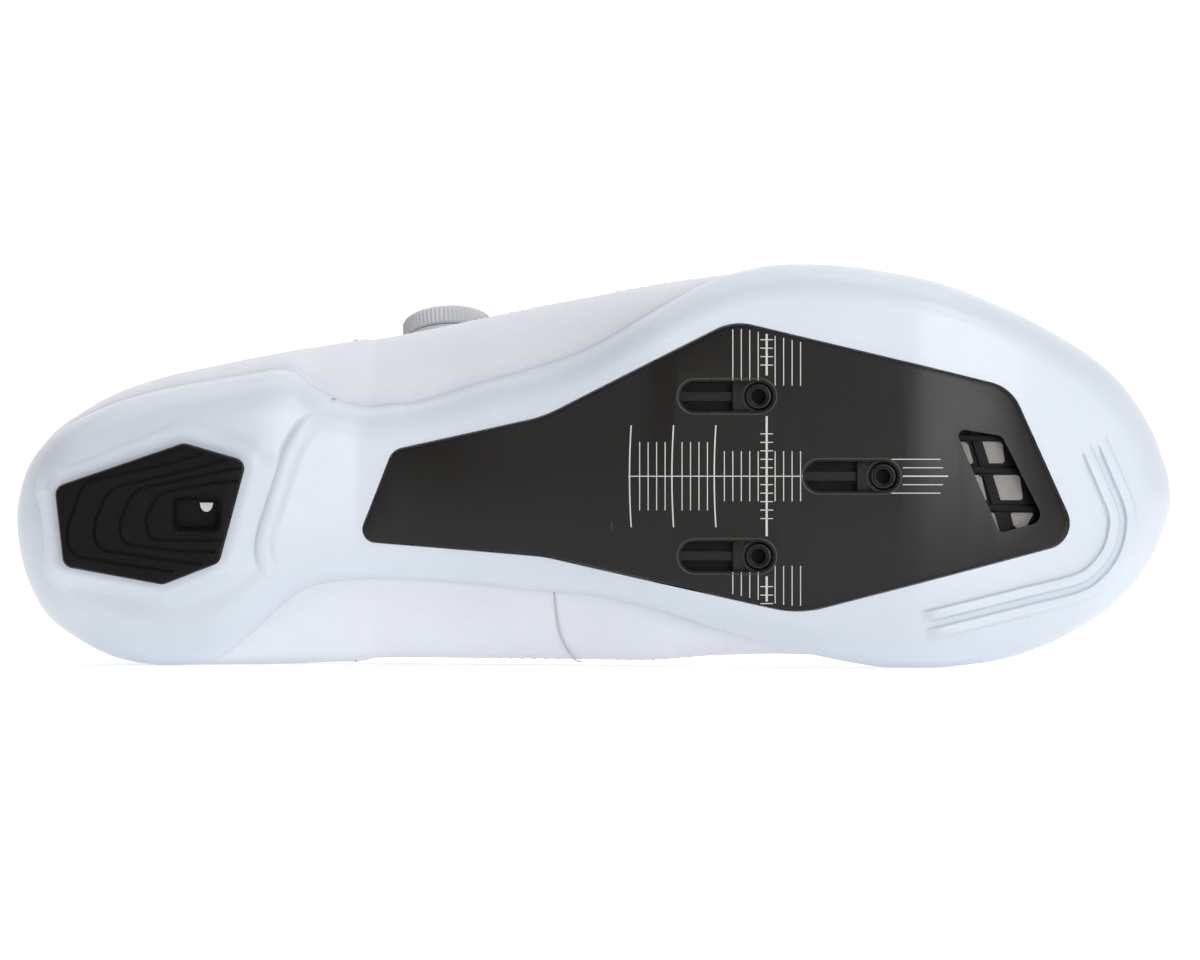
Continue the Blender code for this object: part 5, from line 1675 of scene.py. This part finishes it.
class ShoeStitching(bpy.types.Operator):
    """Stitches along the panels, the throat and the collar, pinholes as dark discs of painted shade, a side
    seam and the collar's pad
    """
    bl_idname = "shoe.stitching"
    bl_label = "Stitches and pinholes"

    def execute(self, context):
        s = sizes()
        stitches = []
        holes = []
        for side_name in ("lateral", "medial"):
            for line in STITCH_LINES:
                stitches += skin_line(line, side_name, STITCH_GAP)
            for first, last, rows, columns in PINHOLES:
                for number in range(rows * columns):
                    row, column = divmod(number, columns)
                    along = first + (last - first) * ((column + 0.5 * (row % 2)) / columns)
                    up = PINHOLE_START + PINHOLE_ROW * row
                    holes.append(skin_frame(along, side_name, up, PINHOLE_LIFT))
        stitch = block(STITCH_SIZE)
        softened(stitch, stitch.edges[:], STITCH_ROUND, 1)
        disc = bmesh.new()
        bmesh.ops.create_circle(disc, cap_ends=True, segments=12, radius=PINHOLE_RADIUS)
        steps = 24
        shares = [k / steps for k in range(steps + 1)]
        seam = [side_section(curve_value(SIDE_SEAM, 1, up), "medial").lower_point(up, SIDE_SEAM_SUNK)
                for up in shares]
        collar = [part.wall_point(part.end_angle() * COLLAR_ROLL_UP, s.wall + s.collar_roll)
                  for part in ring() if part.along < COLLAR_ROLL_END]
        start = max(range(len(collar)), key=lambda i: (collar[i] - collar[i - 1]).length)
        roll = swept(collar[start:] + collar[:start], s.collar_roll, 16)
        for name, shape, finish in (("upper_stitches", copies(stitch, stitches), "seam_thread"),
                                    ("pinholes", copies(disc, holes), "pinhole_shade"),
                                    ("side_seam", swept(seam, SIDE_SEAM_RADIUS), "seam_thread"),
                                    ("collar_pad", roll, "lining_cloth")):
            piece = make_piece(name, shape, [finish], smooth_angle=60)
        return {"FINISHED"}


# Dial: number of its teeth and their depth as a share of the radius
DIAL_TEETH = 64
TOOTH_DEPTH = 0.014
# Rows of distance from the rim and from the top or bottom, in metres: the base's edge and foot, the knob's edge
BASE_EDGE = ((-0.0012, 0.0), (-0.0005, -0.0001), (0.0, -0.0006))
BASE_FOOT = ((0.0, 0.0006), (-0.0003, -0.0006), (-0.001, -0.0012))
BASE_MIDDLE = -0.0005
KNOB_FOOT = ((-0.0006, 0.0), (0.0, 0.0005))
KNOB_EDGE = ((0.0, -0.0014), (-0.0004, -0.0007), (-0.0011, -0.0002), (-0.002, 0.0))
# Hollow in the knob's top: rows of radius as a share of the knob's and of depth in metres
KNOB_HOLLOW = ((0.62, -0.0001), (0.56, -0.0007), (0.5, -0.0008), (0.0, -0.0006))


class ShoeDial(bpy.types.Operator):
    """Lace dial on the lateral side: a round base and a knob with a finely knurled rim"""
    bl_idname = "shoe.dial"
    bl_label = "Lace dial"

    def execute(self, context):
        s = sizes()
        radius = s.dial / 2
        top = s.dial_base
        rows = [(0.0, top)] + [(radius + out, top + up) for out, up in BASE_EDGE]
        rows += [(radius + out, up) for out, up in BASE_FOOT] + [(0.0, BASE_MIDDLE)]
        base = turned_shape(rows, DIAL_TEETH)
        low = top + s.clearance
        high = s.dial_height
        grip = radius - s.clearance
        rows = [(0.0, low)] + [(grip + out, low + up) for out, up in KNOB_FOOT] + [(grip, (low + high) / 2)]
        rows += [(grip + out, high + up) for out, up in KNOB_EDGE]
        rows += [(grip * share, high + up) for share, up in KNOB_HOLLOW]
        knob = turned_shape(rows, 6 * DIAL_TEETH, TOOTH_DEPTH, DIAL_TEETH, gripped=range(2, 6))
        stand = skin_frame(DIAL_ALONG, "lateral", DIAL_UP)
        for name, shape, node in (("dial_seat", base, "dial_base"), ("dial_cap", knob, "dial_knob")):
            bmesh.ops.transform(shape, matrix=stand, verts=shape.verts)
            make_piece(name, shape, ["trim_grey"], node=node, smooth_angle=35)
        return {"FINISHED"}


def guide_side(number):
    """Side that a guide is on: they alternate down the throat, the first on the big-toe side."""
    return "medial" if number % 2 == 0 else "lateral"


def arc_share(along, side_name, up):
    """Share of the whole arc up to the ridge that a share of the wall's own arc is."""
    return side_section(along, side_name).end_angle() * up / (math.pi / 2)


# Where the lace leaves the dial, as a share of the dial's diameter ahead of its middle
LACE_EXIT = 0.62


def lace_route(steps=12):
    """Points of the lace from the dial through the guides, over the tongue between them."""
    s = sizes()
    height = s.guide_height / 2 + s.lace / 2
    stops = [(DIAL_ALONG + s.dial * LACE_EXIT / s.length, "lateral", DIAL_UP)]
    for number, (along, up) in enumerate(GUIDES):
        stops.append((along, guide_side(number), up))
    points = []
    for (along, name, up), (next_along, next_name, next_up) in zip(stops, stops[1:]):
        start = arc_share(along, name, up)
        end = arc_share(next_along, next_name, next_up)
        for k in range(steps):
            t = k / steps
            turn = start * (1 - t) + (2 - end) * t
            here = along + (next_along - along) * t
            side_name, share = (name, turn) if turn <= 1 else (next_name, 2 - turn)
            points.append(side_section(here, side_name).wall_point(math.pi / 2 * share, -height))
    along, name, up = stops[-1]
    points.append(side_section(along, name).wall_point(math.pi / 2 * arc_share(along, name, up), -height))
    return points


# Guide in metres: length, width, how deep it sits in the upper and its soft edges
GUIDE_LENGTH = 0.0118
GUIDE_WIDTH = 0.0078
GUIDE_SUNK = 0.0002
GUIDE_ROUND = 0.0012
LACE_PAST = 0.0008


def guide_shape():
    """Block of a lace guide with its top and upright edges soft."""
    height = sizes().guide_height
    shape = block((GUIDE_LENGTH, GUIDE_WIDTH, height), height / 2 - GUIDE_SUNK)
    top = [edge for edge in shape.edges if all(v.co.z > height / 2 for v in edge.verts)]
    upright = [edge for edge in shape.edges if abs(edge.verts[0].co.z - edge.verts[1].co.z) > height / 2]
    return softened(shape, top + upright, GUIDE_ROUND, 4)


class ShoeLacing(bpy.types.Operator):
    """Lace guides along the throat and the coated lace through them"""
    bl_idname = "shoe.lacing"
    bl_label = "Guides and lace"

    def execute(self, context):
        s = sizes()
        route = lace_route()
        make_piece("lace_line", swept(route, s.lace / 2), ["lace_coat"], node="lace",
                   smooth_angle=60)
        past = route[-1] + (route[-1] - route[-2]).normalized() * LACE_PAST
        for number, (along, up) in enumerate(GUIDES):
            shape = guide_shape()
            stand = skin_frame(along, guide_side(number), up)
            bmesh.ops.transform(shape, matrix=stand, verts=shape.verts)
            bored = carve(shape, [swept(route + [past], s.lace / 2 + s.clearance)])
            make_piece("guide_%d" % (number + 1), bored, ["trim_grey"],
                       node="lace_guide_%d" % (number + 1), smooth_angle=35)
        return {"FINISHED"}


def look_from(place, target, up):
    """Matrix of a camera or light at a place, looking at a target."""
    back = (place - target).normalized()
    right = up.cross(back).normalized()
    return standing(place, right, back.cross(right), back)


def linked(name, data):
    """Object of some data, linked to the scene."""
    thing = bpy.data.objects.new(name, data)
    bpy.context.scene.collection.objects.link(thing)
    return thing


# Soft lights: name, place, target, width and height in metres, power in watts
LIGHTS = (
    ("key", (0.9, -1.0, 1.1), (0.0, 0.0, 0.05), 0.8, 0.7, 6.4),
    ("fill", (-1.0, -1.1, 0.5), (-0.1, 0.0, 0.05), 0.9, 0.7, 1.3),
    ("back", (0.0, 0.9, 2.6), (0.0, 2.0, 0.2), 3.0, 2.0, 40.0),
    ("sheen", (0.64, -1.20, 0.06), (0.08, -0.06, 0.06), 0.6, 0.8, 8.0),
)
WORLD_STRENGTH = 0.32
# Floor and backdrop in metres: the bend between them, the wall's place, the nearest edge, top and sides
FLOOR_BEND = 0.5
FLOOR_WALL = 2.2
FLOOR_FRONT = -3.0
FLOOR_TOP = 3.0
FLOOR_SIDE = 3.5
FLOOR_GLOW = 0.38
# Camera: distance, sensor's width in millimetres, the photo's width and scale, and the middle of the view
CAMERA_AWAY = 1.3
SENSOR = 36.0
PHOTO_WIDTH = 1200
PIXELS_A_METRE = 4212
VIEW_CENTRE = (0.14134, -0.0048)


def floor_mesh():
    """Pale floor that bends up into a wall behind the shoe, and shines a little."""
    steps = 12
    rows = [(FLOOR_FRONT, 0.0), (FLOOR_WALL - FLOOR_BEND, 0.0)]
    for k in range(1, steps + 1):
        angle = math.pi / 2 * k / steps
        rows.append((FLOOR_WALL - FLOOR_BEND * (1 - math.sin(angle)), FLOOR_BEND * (1 - math.cos(angle))))
    rows.append((FLOOR_WALL, FLOOR_TOP))
    columns = [[Vector((x, y, z)) for y, z in rows] for x in (-FLOOR_SIDE, 0.0, FLOOR_SIDE)]
    shape = sheet(columns, closed=False)
    mesh = bpy.data.meshes.new("floor")
    shape.to_mesh(mesh)
    shape.free()
    paper = material("floor_paper")
    glow = paper.node_tree.nodes["Principled BSDF"]
    glow.inputs["Emission Color"].default_value = (1.0, 1.0, 1.0, 1.0)
    glow.inputs["Emission Strength"].default_value = FLOOR_GLOW
    mesh.materials.append(paper)
    mesh.shade_smooth()
    return mesh


class ShoeStage(bpy.types.Operator):
    """Pale floor and backdrop, soft studio light and the camera"""
    bl_idname = "shoe.stage"
    bl_label = "Stage"

    def execute(self, context):
        linked("floor", floor_mesh())
        world = bpy.data.worlds.new("Studio")
        world.use_nodes = True
        background = world.node_tree.nodes["Background"]
        background.inputs["Color"].default_value = (1.0, 1.0, 1.0, 1.0)
        background.inputs["Strength"].default_value = WORLD_STRENGTH
        context.scene.world = world
        context.scene.view_settings.view_transform = "Standard"
        for name, place, target, width, height, power in LIGHTS:
            lamp = bpy.data.lights.new(name, "AREA")
            lamp.shape = "RECTANGLE"
            lamp.size = width
            lamp.size_y = height
            lamp.energy = power
            aim = look_from(Vector(place), Vector(target), Vector((0.0, 0.0, 1.0)))
            linked(name, lamp).matrix_world = aim
        camera = bpy.data.cameras.new("camera")
        camera.sensor_width = SENSOR
        camera.lens = SENSOR * CAMERA_AWAY / (PHOTO_WIDTH / PIXELS_A_METRE)
        placed = shoe_to_row()
        up = placed.to_3x3() @ Vector((0.0, -1.0, 0.0))
        place = placed @ Vector((*VIEW_CENTRE, -CAMERA_AWAY))
        context.scene.camera = linked("camera", camera)
        context.scene.camera.matrix_world = look_from(place, placed @ Vector((*VIEW_CENTRE, 0.0)), up)
        return {"FINISHED"}


BUILD_ORDER = ("sole", "upper", "plate", "scale", "heel_pad", "nuts", "tray", "insole", "tongue",
               "stitching", "dial", "lacing", "stage")


class ShoePanel(bpy.types.Panel):
    """Buttons that build the shoe's pieces"""
    bl_idname = "SHOE_PT_pieces"
    bl_label = "Cycling shoe"
    bl_space_type = "VIEW_3D"
    bl_region_type = "UI"
    bl_category = "Shoe"

    def draw(self, context):
        for name in BUILD_ORDER:
            self.layout.operator("shoe." + name)


CLASSES = (ShoeSizes, ShoeColours, ShoeSole, ShoeUpper, ShoePlate, ShoeScale, ShoeHeelPad, ShoeNuts,
           ShoeTray, ShoeInsole, ShoeTongue, ShoeStitching, ShoeDial, ShoeLacing, ShoeStage, ShoePanel)


def register():
    for one in CLASSES:
        bpy.utils.register_class(one)
    bpy.types.Scene.shoe_sizes = PointerProperty(type=ShoeSizes)
    bpy.types.Scene.shoe_colours = PointerProperty(type=ShoeColours)


def unregister():
    del bpy.types.Scene.shoe_colours
    del bpy.types.Scene.shoe_sizes
    for one in reversed(CLASSES):
        bpy.utils.unregister_class(one)


def main():
    register()
    for name in BUILD_ORDER:
        getattr(bpy.ops.shoe, name)()
    bpy.context.view_layer.update()


if __name__ == "__main__":
    main()
